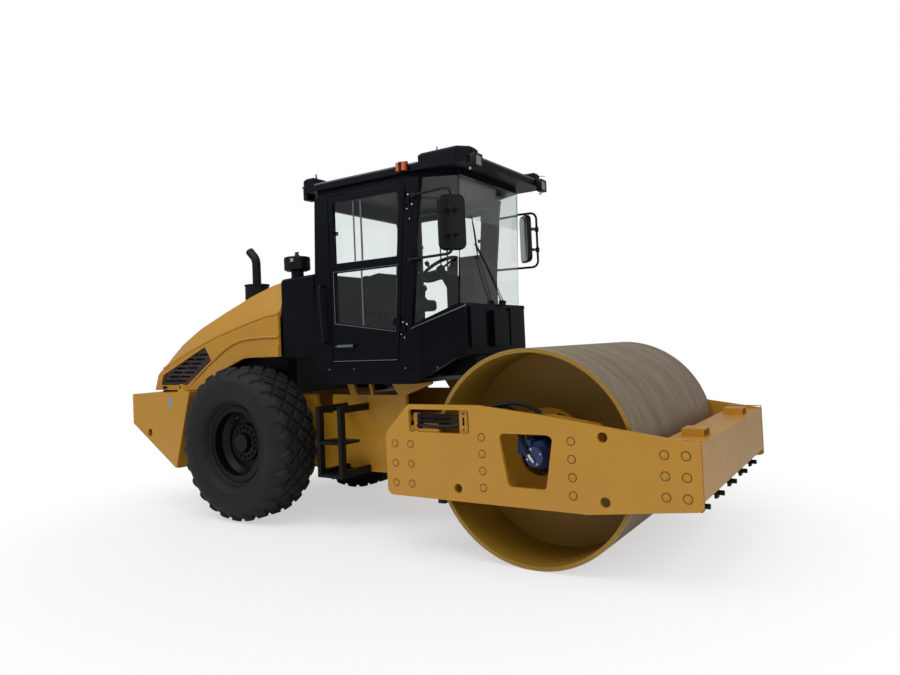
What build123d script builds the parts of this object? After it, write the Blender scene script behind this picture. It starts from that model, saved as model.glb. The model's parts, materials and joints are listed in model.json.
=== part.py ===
"""Single-drum soil compactor with a cab: a drum frame and a tractor unit, hinged in the middle.

Millimetres. +X is forward, +Y the machine's left and +Z up; the origin lies on the
ground below the middle of the machine.
"""

import os
from math import atan2, copysign, cos, degrees, hypot, pi, radians, sin, sqrt, tan

from build123d import *

# ---------------------------------------------------------------- driving dimensions
# Layout along the machine
DRUM_X = 1800.0  # drum axle
WHEELBASE = 3080.0  # drum axle to rear axle
STEER_X = 300.0  # upright pin of the centre joint

# Drum
DRUM_D = 1535.0
DRUM_WIDTH = 2130.0
DRUM_SHELL = 30.0
DRUM_HEAD = 30.0
DRUM_HEAD_INSET = 525.0  # drum edge to the outer face of its head
JOURNAL_D = 220.0
JOURNAL_LENGTH = 180.0

# Running clearances
PIN_CLEARANCE = 0.1  # radial, at pins and journals
MOVING_GAP = 12.0  # between other pieces that pass each other

# Drum frame
PLATE_T = 30.0
DRUM_TO_PLATE = 35.0  # drum edge to the inside of a side plate
PLATE_TOP = 1138.0
PLATE_BOTTOM = 440.0
FRONT_REACH = 1160.0  # drum axle to the front of the side plates
REAR_REACH = 1185.0  # drum axle to the rear of the side plates
BEAM_WALL = 20.0
FRONT_BEAM_DEPTH = 260.0
FRONT_BEAM_Z = (577.0, 920.0)
REAR_BEAM_DEPTH = 285.0
REAR_BEAM_Z = (490.0, 930.0)
LIFT_TUBE = (140.0, 170.0, 50.0)  # length, width, height
LIFT_TUBE_Y = 670.0
LIFT_TUBE_WALL = 10.0
STUD_D = 35.0
STUD_Y = (-860.0, -430.0, 0.0, 430.0, 860.0)
SCRAPER_GAP = 9.0  # scraper blade to drum
CARRIER_T = 30.0
CARRIER_INSET = 250.0  # inside of a side plate to the inside of its carrier plate
CARRIER_BORE_D = 300.0
HUB_T = 30.0
HUB_D = 640.0
BUFFER_D = 110.0
BUFFER_RING_D = 490.0
BUFFER_COUNT = 8
MOTOR_D = 200.0
MOTOR_LENGTH = 260.0
PORT_HEIGHT = 115.0  # top of a motor's port block above the drum axle
HOSE_D = 22.0

# Centre joint
YOKE_BARREL_D = 190.0
YOKE_PIN_D = 100.0
YOKE_HALF_HEIGHT = 150.0
YOKE_Z = 745.0
YOKE_SHAFT_D = 150.0
YOKE_FLANGE_D = 360.0
LUG_T = 50.0
LUG_GAP = 4.0  # yoke barrel to a lug

# Steering cylinders
CYL_BASE = (STEER_X - 600, 300.0)  # base pin: x, distance from the centre plane
CYL_EAR = (170.0, 250.0)  # rod pin ahead of the upright pin, distance from the centre plane
CYL_BORE_D = 90.0
CYL_ROD_D = 45.0
CYL_EYE_D = 90.0
CYL_BARREL_LENGTH = 430.0
CYL_EYE_T = 60.0
CYL_ROD_LENGTH = 500.0
CYL_PIN_D = 40.0

# Chassis of the tractor unit
CHASSIS_Y = 450.0  # outer faces of the chassis plates
CHASSIS_T = 40.0
CHASSIS_TOP = 1150.0
CHASSIS_BOTTOM = 450.0
CROSS_X = STEER_X - 680  # front face of the cross plate behind the centre joint
CROSS_T = 30.0

# Rear axle and wheels
TYRE_D = 1450.0
TYRE_WIDTH = 520.0
TYRE_TRACK = 1680.0
RIM_D = 635.0
RIM_FLANGE_D = 710.0
RIM_WIDTH = 300.0
RIM_DISC_T = 16.0
HUB_CAP_D = 360.0
AXLE_TUBE_D = 200.0
SPINDLE_D = 120.0

TYRE_GAP = 60.0  # tyre to the top of the ballast's front wall

# Ballast box at the rear
BALLAST_Y = 950.0
BALLAST_T = 25.0
BALLAST_LENGTH = 895.0  # along its top
BALLAST_LEAN = 180.0  # front wall, from its foot to its top
BALLAST_Z = (425.0, 870.0, 1185.0, 1205.0)  # front foot, rear foot, rear top, front top

# Engine hood, placed from the rear axle
HOOD_Y = 750.0  # outside of the arch lips
HOOD_LIP = 15.0  # arch lip proud of the side
HOOD_T = 25.0
HOOD_BOTTOM = 1212.0
HOOD_FRONT = 355.0  # ahead of the rear axle
COWL_Y = 705.0
COWL_Z = (1520.0, 2268.0, 2284.0)  # underside, top at the hood, top at the cab
SILENCER_D = 250.0
TAILPIPE_D = 90.0

# Cab, placed from its rear foot
CAB_AHEAD = 800.0  # rear foot ahead of the rear axle
CAB_Y = 720.0
CAB_WALL = 50.0
CAB_FLOOR_Z = 1265.0
CAB_FLOOR_T = 40.0
CAB_SKIRT_Z = 1385.0
CAB_SILL_Z = 1457.0
CAB_TOP_Z = 2980.0
CAB_LENGTH = 1510.0
CAB_FRONT_Y = 544.0  # half width of the front panels
SCREEN_Z = 1918.0  # foot of the windscreen
HEADER_Z = 2960.0  # top of the door openings
GLASS_T = 8.0
DOOR_T = 40.0
DOOR_GAP = 8.0
HINGE_D = 24.0
HINGE_PIN_D = 12.0
ROOF_T = 65.0
ROOF_Y = 740.0
POD_TOP_Z = 3165.0

DRUM_R = DRUM_D / 2
TYRE_R = TYRE_D / 2
AXLE_X = DRUM_X - WHEELBASE
AXLE_Z = TYRE_R
CAB_X = AXLE_X + CAB_AHEAD
NOSE_X = CAB_X + CAB_LENGTH
HOOD_FRONT_X = AXLE_X + HOOD_FRONT
BALLAST_FRONT_X = AXLE_X - TYRE_R - TYRE_GAP
BALLAST_REAR_X = BALLAST_FRONT_X - BALLAST_LENGTH
CHASSIS_FRONT_X = STEER_X + 30
PLATE_IN_Y = DRUM_WIDTH / 2 + DRUM_TO_PLATE
PLATE_OUT_Y = PLATE_IN_Y + PLATE_T
FRONT_X = DRUM_X + FRONT_REACH
REAR_X = DRUM_X - REAR_REACH
SIDES = (-1, 1)  # right, left


# ---------------------------------------------------------------- shape helpers
def block(x, y, z):
    """Rectangular block from three (low, high) pairs."""
    size = [high - low for low, high in (x, y, z)]
    middle = [(low + high) / 2 for low, high in (x, y, z)]
    return Pos(*middle) * Box(*size)


def slab_xz(corners, y_low, y_high):
    """Plate parallel to the centre plane. Corner columns: x, z, corner radius."""
    points = [(x, y_low, z) for x, z, _ in corners]
    rounds = [radius for _, _, radius in corners]
    if any(rounds):
        wire = FilletPolyline(*points, radius=rounds, close=True)
    else:
        wire = Polyline(*points, close=True)
    return extrude(make_face(wire), amount=y_high - y_low, dir=(0, 1, 0))


def slab_xy(corners, z_low, z_high):
    """Level plate. Corner columns: x, y, corner radius."""
    points = [(x, y, z_low) for x, y, _ in corners]
    rounds = [radius for _, _, radius in corners]
    if any(rounds):
        wire = FilletPolyline(*points, radius=rounds, close=True)
    else:
        wire = Polyline(*points, close=True)
    return extrude(make_face(wire), amount=z_high - z_low, dir=(0, 0, 1))


def rod_x(d, x, y, z):
    """Round bar along X; x is a (low, high) pair."""
    return Pos((x[0] + x[1]) / 2, y, z) * Rot(0, 90, 0) * Cylinder(d / 2, x[1] - x[0])


def rod_y(d, x, y, z):
    """Round bar along Y; y is a (low, high) pair."""
    return Pos(x, (y[0] + y[1]) / 2, z) * Rot(90, 0, 0) * Cylinder(d / 2, y[1] - y[0])


def rod_z(d, x, y, z):
    """Upright round bar; z is a (low, high) pair."""
    return Pos(x, y, (z[0] + z[1]) / 2) * Cylinder(d / 2, z[1] - z[0])


def turned_y(rows, x, z):
    """Solid turned about an axis along Y. Row columns: distance from the axis, y."""
    profile = make_face(Polyline(*[(x + r, y, z) for r, y in rows], close=True))
    return revolve(profile, Axis((x, 0, z), (0, 1, 0)), 360)


def turned_z(rows, x, y):
    """Solid turned about an upright axis. Row columns: distance from the axis, z."""
    profile = make_face(Polyline(*[(x + r, y, z) for r, z in rows], close=True))
    return revolve(profile, Axis((x, y, 0), (0, 0, 1)), 360)


def pipe(points, radii, d):
    """Round tube or hose along straight runs joined by arcs."""
    path = FilletPolyline(*points, radius=radii)
    start = path.position_at(0)
    section = Plane(origin=start, z_dir=path.tangent_at(0)) * Circle(d / 2)
    return sweep(section, path)


def span(low, high, side):
    """(low, high) distances from the centre plane as a y pair on one side."""
    return (low, high) if side > 0 else (-high, -low)


def both_sides(make):
    """Solids of the right and the left side, kept as one compound."""
    return Compound(children=[solid for side in SIDES for solid in make(side).solids()])


def bend_radii(points):
    """Largest arcs that fit the corners of a hose's route."""
    radii = []
    for before, corner, after in zip(points, points[1:], points[2:]):
        arrive = Vector(corner) - Vector(before)
        leave = Vector(after) - Vector(corner)
        turn = radians(arrive.get_angle(leave))
        radii.append(0.45 * min(arrive.length, leave.length) / tan(turn / 2))
    return radii


def gather(*shapes):
    """One compound of the solids of several shapes."""
    return Compound(children=[solid for shape in shapes for solid in shape.solids()])


# ---------------------------------------------------------------- drum
def drum_shell():
    """Steel drum with two inset heads and a journal on each."""
    drum = rod_y(DRUM_D, DRUM_X, (-DRUM_WIDTH / 2, DRUM_WIDTH / 2), DRUM_R)
    head_y = DRUM_WIDTH / 2 - DRUM_HEAD_INSET
    bore = DRUM_D - 2 * DRUM_SHELL
    drum -= rod_y(bore, DRUM_X, (-DRUM_WIDTH / 2, -head_y), DRUM_R)
    drum -= rod_y(bore, DRUM_X, (head_y, DRUM_WIDTH / 2), DRUM_R)
    drum -= rod_y(bore, DRUM_X, (DRUM_HEAD - head_y, head_y - DRUM_HEAD), DRUM_R)
    for side in SIDES:
        drum += rod_y(JOURNAL_D, DRUM_X, span(head_y - DRUM_HEAD, head_y + JOURNAL_LENGTH, side), DRUM_R)
    return drum


# ---------------------------------------------------------------- drum frame
PLATE_OUTLINE = (  # x, z, corner radius
    (REAR_X, PLATE_BOTTOM, 55),
    (REAR_X, 914, 40),
    (REAR_X + 220, PLATE_TOP, 30),
    (DRUM_X - 355, PLATE_TOP, 60),
    (DRUM_X + 168, PLATE_TOP - 64, 60),
    (FRONT_X, PLATE_TOP - 212, 12),
    (FRONT_X, 530, 15),
    (FRONT_X - 34, 520, 8),
    (FRONT_X - 720, PLATE_BOTTOM, 80),
)
PLATE_WINDOW = (  # opening for the hoses
    (REAR_X + 223, 930, 20),
    (REAR_X + 223, 1102, 20),
    (REAR_X + 753, 1102, 20),
    (REAR_X + 753, 930, 20),
)
MOTOR_OPENING = (  # opening beside the drum motor
    (DRUM_X - 131, 575, 35),
    (DRUM_X - 195, 945, 35),
    (DRUM_X + 216, 945, 35),
    (DRUM_X + 154, 575, 35),
)
TIE_HOLE_D = 68.0
TIE_HOLES = ((DRUM_X + 560, 945), (DRUM_X + 560, 530), (DRUM_X - 543, 533))  # x, z


def side_plates():
    """The two thick flame-cut plates that carry the drum."""

    def plate(side):
        inner, outer = span(PLATE_IN_Y, PLATE_OUT_Y, side)
        shape = slab_xz(PLATE_OUTLINE, inner, outer)
        shape -= slab_xz(PLATE_WINDOW, inner - 1, outer + 1)
        shape -= slab_xz(MOTOR_OPENING, inner - 1, outer + 1)
        for x, z in TIE_HOLES:
            shape -= rod_y(TIE_HOLE_D, x, (inner - 1, outer + 1), z)
        return shape

    return both_sides(plate)


def front_beam():
    """Welded box across the front, with two lift tubes on top."""
    x = (FRONT_X - FRONT_BEAM_DEPTH, FRONT_X)
    y = (-PLATE_IN_Y, PLATE_IN_Y)
    beam = block(x, y, FRONT_BEAM_Z)
    inside_x = (x[0] + BEAM_WALL, x[1] - BEAM_WALL)
    inside_z = (FRONT_BEAM_Z[0] + BEAM_WALL, FRONT_BEAM_Z[1] - BEAM_WALL)
    beam -= block(inside_x, y, inside_z)
    length, width, height = LIFT_TUBE
    middle = FRONT_X - FRONT_BEAM_DEPTH / 2
    for side in SIDES:
        tube_x = (middle - length / 2, middle + length / 2)
        tube_y = span(LIFT_TUBE_Y - width / 2, LIFT_TUBE_Y + width / 2, side)
        tube_z = (FRONT_BEAM_Z[1], FRONT_BEAM_Z[1] + height)
        beam += block(tube_x, tube_y, tube_z)
        hole_y = (tube_y[0] + LIFT_TUBE_WALL, tube_y[1] - LIFT_TUBE_WALL)
        hole_z = (tube_z[0] + 2, tube_z[1] - LIFT_TUBE_WALL)
        beam -= block(tube_x, hole_y, hole_z)
    return beam


BEARING_D = 300.0
BEARING_X = (REAR_X, REAR_X + REAR_BEAM_DEPTH)


def rear_beam():
    """Welded box across the rear with the bearing of the swing shaft through it."""
    y = (-PLATE_IN_Y, PLATE_IN_Y)
    beam = block(BEARING_X, y, REAR_BEAM_Z)
    inside_x = (BEARING_X[0] + BEAM_WALL, BEARING_X[1] - BEAM_WALL)
    inside_z = (REAR_BEAM_Z[0] + BEAM_WALL, REAR_BEAM_Z[1] - BEAM_WALL)
    beam -= block(inside_x, y, inside_z)
    beam += rod_x(BEARING_D, BEARING_X, 0, YOKE_Z)
    beam -= rod_x(YOKE_SHAFT_D + 2 * PIN_CLEARANCE, (BEARING_X[0] - 1, BEARING_X[1] + 1), 0, YOKE_Z)
    for side in SIDES:
        hose_block = span(DRUM_WIDTH / 2, PLATE_IN_Y - 10, side)
        beam += block((BEARING_X[1] - 40, BEARING_X[1]), hose_block, (REAR_BEAM_Z[1], REAR_BEAM_Z[1] + 140))
    return beam


SCRAPERS = (  # side of the drum, blade height, bar support height, beam face it hangs from
    (1, 500.0, FRONT_BEAM_Z[0], FRONT_X),
    (-1, 420.0, REAR_BEAM_Z[0], REAR_X),
)
SCRAPER_BAR = 60.0
SCRAPER_BLADE_T = 12.0
SCRAPER_HALF = 1050.0
SCRAPER_TAB_W = 70.0
SCRAPER_TAB_T = 20.0


def scrapers():
    """Drum scrapers: a blade on a bar, held by studs through tabs under each beam."""
    shapes = []
    for ahead, z, beam_z, beam_x in SCRAPERS:
        edge = sqrt((DRUM_R + SCRAPER_GAP) ** 2 - (DRUM_R - z) ** 2)
        tip = DRUM_X + ahead * edge
        y = (-SCRAPER_HALF, SCRAPER_HALF)
        blade_x = sorted((tip, tip + ahead * (SCRAPER_BAR + 20)))
        bar_x = sorted((tip + ahead * 20, tip + ahead * (20 + SCRAPER_BAR)))
        shape = block(blade_x, y, (z - SCRAPER_BLADE_T / 2, z + SCRAPER_BLADE_T / 2))
        shape += block(bar_x, y, (z - SCRAPER_BAR / 2, z + SCRAPER_BAR / 2))
        tab_x = sorted((beam_x - ahead * 60, beam_x - ahead * (60 + SCRAPER_TAB_T)))
        stud_x = sorted((tip + ahead * 40, beam_x - ahead * 20))
        for stud_y in STUD_Y:
            shape += rod_x(STUD_D, stud_x, stud_y, z)
            tab_y = (stud_y - SCRAPER_TAB_W / 2, stud_y + SCRAPER_TAB_W / 2)
            shape += block(tab_x, tab_y, (z - SCRAPER_TAB_W / 2, beam_z))
        shapes.append(shape)
    return gather(*shapes)


CARRIER_OUTLINE = (  # x, z, corner radius
    (DRUM_X - 310, DRUM_R - 210, 60),
    (DRUM_X - 310, DRUM_R + 210, 60),
    (DRUM_X - 220, DRUM_R + 290, 60),
    (DRUM_X + 120, DRUM_R + 290, 40),
    (DRUM_X + 480, DRUM_R + 230, 40),
    (DRUM_X + 480, DRUM_R + 60, 60),
    (DRUM_X + 310, DRUM_R - 210, 60),
    (DRUM_X + 220, DRUM_R - 290, 60),
    (DRUM_X - 220, DRUM_R - 290, 60),
)
CARRIER_LEDGES = (  # x low, x high, z at x low, z at x high, thickness
    (DRUM_X + 70, DRUM_X + 480, DRUM_R + 290, DRUM_R + 225, 30),
    (DRUM_X - 220, DRUM_X + 220, DRUM_R - 260, DRUM_R - 260, 30),
)


def drum_carriers():
    """Carrier plates inside the side plates, welded to them by two ledges each."""

    def carrier(side):
        plate_y = PLATE_IN_Y - CARRIER_INSET
        low, high = span(plate_y, plate_y + CARRIER_T, side)
        shape = slab_xz(CARRIER_OUTLINE, low, high)
        shape -= rod_y(CARRIER_BORE_D, DRUM_X, (low - 1, high + 1), DRUM_R)
        ledge_y = span(plate_y + CARRIER_T, PLATE_IN_Y, side)
        for x0, x1, z0, z1, t in CARRIER_LEDGES:
            corners = ((x0, z0, 0), (x1, z1, 0), (x1, z1 - t, 0), (x0, z0 - t, 0))
            shape += slab_xz(corners, *ledge_y)
        return shape

    return both_sides(carrier)


HUB_Y = DRUM_WIDTH / 2 - DRUM_HEAD_INSET + JOURNAL_LENGTH  # outer face of a hub
CARRIER_Y = PLATE_IN_Y - CARRIER_INSET  # inner face of a carrier plate


def drum_hubs():
    """Discs in which the drum's journals turn."""

    def hub(side):
        journal_y = span(HUB_Y - 110, HUB_Y, side)
        disc_y = span(HUB_Y - HUB_T, HUB_Y, side)
        shape = rod_y(HUB_D, DRUM_X, disc_y, DRUM_R)
        shape += rod_y(JOURNAL_D + 120, DRUM_X, journal_y, DRUM_R)
        shape -= rod_y(JOURNAL_D + 2 * PIN_CLEARANCE, DRUM_X, span(HUB_Y - 120, HUB_Y + 1, side), DRUM_R)
        return shape

    return both_sides(hub)


def drum_buffers():
    """Rubber buffers between the hubs and the carrier plates."""
    solids = []
    for side in SIDES:
        for k in range(BUFFER_COUNT):
            angle = 2 * pi * (k + 0.5) / BUFFER_COUNT
            x = DRUM_X + BUFFER_RING_D / 2 * cos(angle)
            z = DRUM_R + BUFFER_RING_D / 2 * sin(angle)
            solids.append(rod_y(BUFFER_D, x, span(HUB_Y, CARRIER_Y, side), z))
    return gather(*solids)


def drum_motors():
    """Hydraulic motors at both ends of the drum, standing in the carrier plates' bores."""

    def motor(side):
        start = HUB_Y + PIN_CLEARANCE
        flange = turned_y(
            (
                (0, side * start),
                (JOURNAL_D / 2 + 40, side * start),
                (JOURNAL_D / 2 + 40, side * (start + 30)),
                (MOTOR_D / 2, side * (start + 30)),
                (MOTOR_D / 2, side * (start + MOTOR_LENGTH - 70)),
                (MOTOR_D / 2 - 30, side * (start + MOTOR_LENGTH)),
                (0, side * (start + MOTOR_LENGTH)),
            ),
            DRUM_X,
            DRUM_R,
        )
        port_y = span(start + MOTOR_LENGTH - 95, start + MOTOR_LENGTH - 15, side)
        port_x = (DRUM_X - MOTOR_D / 2 - 30, DRUM_X - 30)
        return flange + block(port_x, port_y, (DRUM_R + 10, DRUM_R + PORT_HEIGHT))

    return both_sides(motor)


# ---------------------------------------------------------------- centre joint
def centre_yoke():
    """Yoke with the upright steering pin and the swing shaft into the drum frame."""
    half = YOKE_HALF_HEIGHT
    yoke = rod_z(YOKE_BARREL_D, STEER_X, 0, (YOKE_Z - half, YOKE_Z + half))
    reach = half + LUG_GAP + LUG_T
    yoke += rod_z(YOKE_PIN_D, STEER_X, 0, (YOKE_Z - reach, YOKE_Z + reach))
    flange_x = (REAR_X - MOVING_GAP - 40, REAR_X - MOVING_GAP)
    yoke += rod_x(YOKE_FLANGE_D - 100, (STEER_X, flange_x[0]), 0, YOKE_Z)
    yoke += rod_x(YOKE_FLANGE_D, flange_x, 0, YOKE_Z)
    beam_back = REAR_X + REAR_BEAM_DEPTH
    yoke += rod_x(YOKE_SHAFT_D, (flange_x[0], beam_back + MOVING_GAP), 0, YOKE_Z)
    yoke += rod_x(YOKE_SHAFT_D + 60, (beam_back + MOVING_GAP, beam_back + 45), 0, YOKE_Z)
    ear_x = STEER_X + CYL_EAR[0]
    for side in SIDES:
        for low, high in ((45, 70), (-70, -45)):  # cheeks above and below the rod's eye
            cheek = slab_xy(
                (
                    (ear_x - 45, 0, 0),
                    (ear_x - 45, side * (CYL_EAR[1] + 45), 40),
                    (ear_x + 45, side * (CYL_EAR[1] + 45), 40),
                    (flange_x[1], 0, 0),
                ),
                YOKE_Z + low,
                YOKE_Z + high,
            )
            yoke += cheek
    return yoke


def steering_cylinder(side):
    """Barrel of a steering cylinder, pointing at the yoke's ear, with its base eye."""
    base, tip = cylinder_ends(side)
    heading = degrees(atan2(tip[1] - base[1], tip[0] - base[0]))
    middle = (CYL_EYE_D + CYL_BARREL_LENGTH) / 2
    barrel = Pos(middle, 0, 0) * Rot(0, 90, 0) * Cylinder(CYL_BORE_D / 2, CYL_BARREL_LENGTH)
    barrel += Cylinder(CYL_EYE_D / 2, CYL_EYE_T) + block((0, CYL_EYE_D), (-20, 20), (-20, 20))
    rod_hole = rod_x(CYL_ROD_D + 2 * PIN_CLEARANCE, (CYL_EYE_D + 20, CYL_EYE_D + CYL_BARREL_LENGTH), 0, 0)
    barrel -= rod_hole
    barrel -= Cylinder(CYL_PIN_D / 2 + PIN_CLEARANCE, CYL_EYE_T + 2)
    return Pos(base[0], base[1], YOKE_Z) * Rot(0, 0, heading) * barrel


def steering_rod(side):
    """Rod of a steering cylinder with its open eye."""
    base, tip = cylinder_ends(side)
    heading = degrees(atan2(tip[1] - base[1], tip[0] - base[0]))
    length = hypot(tip[0] - base[0], tip[1] - base[1])
    rod = rod_x(CYL_ROD_D, (length - CYL_ROD_LENGTH, length), 0, 0)
    rod += Pos(length, 0, 0) * Cylinder(38, CYL_EYE_T)
    rod -= Pos(length, 0, 0) * Cylinder(CYL_PIN_D / 2, CYL_EYE_T + 2)
    return Pos(base[0], base[1], YOKE_Z) * Rot(0, 0, heading) * rod


def cylinder_ends(side):
    """Base pin and rod pin of a steering cylinder, in plan."""
    return (CYL_BASE[0], side * CYL_BASE[1]), (STEER_X + CYL_EAR[0], side * CYL_EAR[1])


# ---------------------------------------------------------------- chassis
def ballast_front(z):
    """x of the ballast's leaning front wall at height z."""
    foot, top = BALLAST_Z[0], BALLAST_Z[3]
    return BALLAST_FRONT_X - BALLAST_LEAN * (top - z) / (top - foot)


TAIL_Z = 760.0  # underside of the chassis behind the axle
AXLE_ARCH_Z = 900.0  # underside of the chassis above the axle
CHASSIS_OUTLINE = (  # x, z, corner radius
    (CHASSIS_FRONT_X, CHASSIS_BOTTOM, 0),
    (CHASSIS_FRONT_X, CHASSIS_TOP, 0),
    (CAB_X - 45, CHASSIS_TOP, 0),
    (CAB_X - 50, CHASSIS_TOP - 178, 0),
    (CAB_X - 231, CHASSIS_TOP - 178, 0),
    (CAB_X - 260, CHASSIS_TOP, 0),
    (ballast_front(CHASSIS_TOP), CHASSIS_TOP, 0),
    (ballast_front(TAIL_Z), TAIL_Z, 0),
    (AXLE_X - 420, TAIL_Z, 60),
    (AXLE_X - 280, AXLE_ARCH_Z, 60),
    (AXLE_X + 280, AXLE_ARCH_Z, 60),
    (AXLE_X + 480, CHASSIS_BOTTOM, 60),
)


def rear_frame():
    """Chassis: two long plates, cross plates, and the lugs of the centre joint."""
    inner = CHASSIS_Y - CHASSIS_T
    back = CROSS_X
    frame = Part()
    for side in SIDES:
        frame += slab_xz(CHASSIS_OUTLINE, *span(inner, CHASSIS_Y, side))
    lug_low = YOKE_Z - YOKE_HALF_HEIGHT - LUG_GAP - LUG_T
    lug_high = YOKE_Z + YOKE_HALF_HEIGHT + LUG_GAP
    tip_x, tip_y = STEER_X + 60, YOKE_BARREL_D / 2 + 10
    for z in (lug_low, lug_high):
        lug = slab_xy(
            (
                (back, -inner, 0),
                (STEER_X - 180, -inner, 0),
                (tip_x, -tip_y, 80),
                (tip_x, tip_y, 80),
                (STEER_X - 180, inner, 0),
                (back, inner, 0),
            ),
            z,
            z + LUG_T,
        )
        frame += lug - rod_z(YOKE_PIN_D + 2 * PIN_CLEARANCE, STEER_X, 0, (z - 1, z + LUG_T + 1))
    frame += block((back - CROSS_T, back), (-inner, inner), (CHASSIS_BOTTOM, CHASSIS_TOP))
    frame += block((back, back + 180), (-inner, inner), (CHASSIS_TOP - CROSS_T, CHASSIS_TOP))
    base_x, base_y = CYL_BASE
    cheek = CYL_EYE_T / 2 + 15  # inside and thickness of the cheeks of a cylinder's base pin
    for side in SIDES:
        for low, high in ((cheek, cheek + 20), (-cheek - 20, -cheek)):
            cheek_y = span(base_y - 50, inner, side)
            frame += block((back, base_x + 40), cheek_y, (YOKE_Z + low, YOKE_Z + high))
        frame += rod_z(CYL_PIN_D, base_x, side * base_y, (YOKE_Z - cheek - 20, YOKE_Z + cheek + 20))
    return frame


def rear_axle():
    """Drive axle: a housing with its differential and a spindle for each wheel."""
    wheel_y = TYRE_TRACK / 2
    flange_y = wheel_y - 130
    housing = rod_y(AXLE_TUBE_D, AXLE_X, (-flange_y, flange_y), AXLE_Z)
    housing += Pos(AXLE_X, 0, AXLE_Z) * Sphere(230)
    housing += rod_x(160, (AXLE_X, AXLE_X + 330), 0, AXLE_Z)
    for side in SIDES:
        housing += rod_y(SPINDLE_D, AXLE_X, span(flange_y, wheel_y + 30, side), AXLE_Z)
        seat_y = span(CHASSIS_Y - CHASSIS_T, CHASSIS_Y, side)
        housing += block((AXLE_X - 190, AXLE_X + 190), seat_y, (AXLE_ARCH_Z - 30, AXLE_ARCH_Z))
        housing += block((AXLE_X - 110, AXLE_X + 110), seat_y, (AXLE_Z, AXLE_ARCH_Z - 30))
    return housing


TREAD_COUNT = 26  # blocks in a row round the tyre
TREAD_ROWS = (-2, -1, 0, 1, 2)  # every other row stands half a block on
TREAD_ROW = 86.0  # from row to row across the tyre
TREAD_DEPTH = 22.0
TREAD_TOP = 0.84  # share of a block's place that its top keeps
TREAD_TURN = pi / TREAD_COUNT  # half a block's angle
TREAD_CROWN = (  # distance from the tyre's middle, distance from the axle
    (0.0, TYRE_R),
    (155.0, TYRE_R),
    (205.0, TYRE_R - 18),
    (232.0, TYRE_R - 50),
    (254.0, TYRE_R - 110),
)
TREAD_FOOT = (TYRE_WIDTH / 2 - 14, TYRE_R - 125)  # where the outer grooves end, in the same columns
SEAT_R = RIM_D / 2 / cos(TREAD_TURN / 2)  # corners of the bead, whose flats touch the rim
SIDEWALL = (  # distance from the axle, distance from the tyre's middle
    (TYRE_R - 175, TYRE_WIDTH / 2),
    (RIM_FLANGE_D / 2 + 75, TYRE_WIDTH / 2 - 22),
    (RIM_FLANGE_D / 2 + 15, RIM_WIDTH / 2 - 14),
    (SEAT_R, RIM_WIDTH / 2 - 14),
    (SEAT_R, RIM_WIDTH / 2 - 60),
)
TYRE_LINER = (  # the same columns
    (RIM_D / 2 + 82, RIM_WIDTH / 2 - 55),
    (RIM_D / 2 + 182, TYRE_WIDTH / 2 - 60),
    (TYRE_R - 125, TYRE_WIDTH / 2 - 55),
    (TYRE_R - 65, TYRE_WIDTH / 2 - 130),
)


def crown_radius(a):
    """Radius of the tread's top at distance a from the tyre's middle."""
    for (a0, r0), (a1, r1) in zip(TREAD_CROWN, TREAD_CROWN[1:]):
        if abs(a) <= a1:
            return r0 + (r1 - r0) * (abs(a) - a0) / (a1 - a0)
    return TREAD_CROWN[-1][1]


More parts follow.
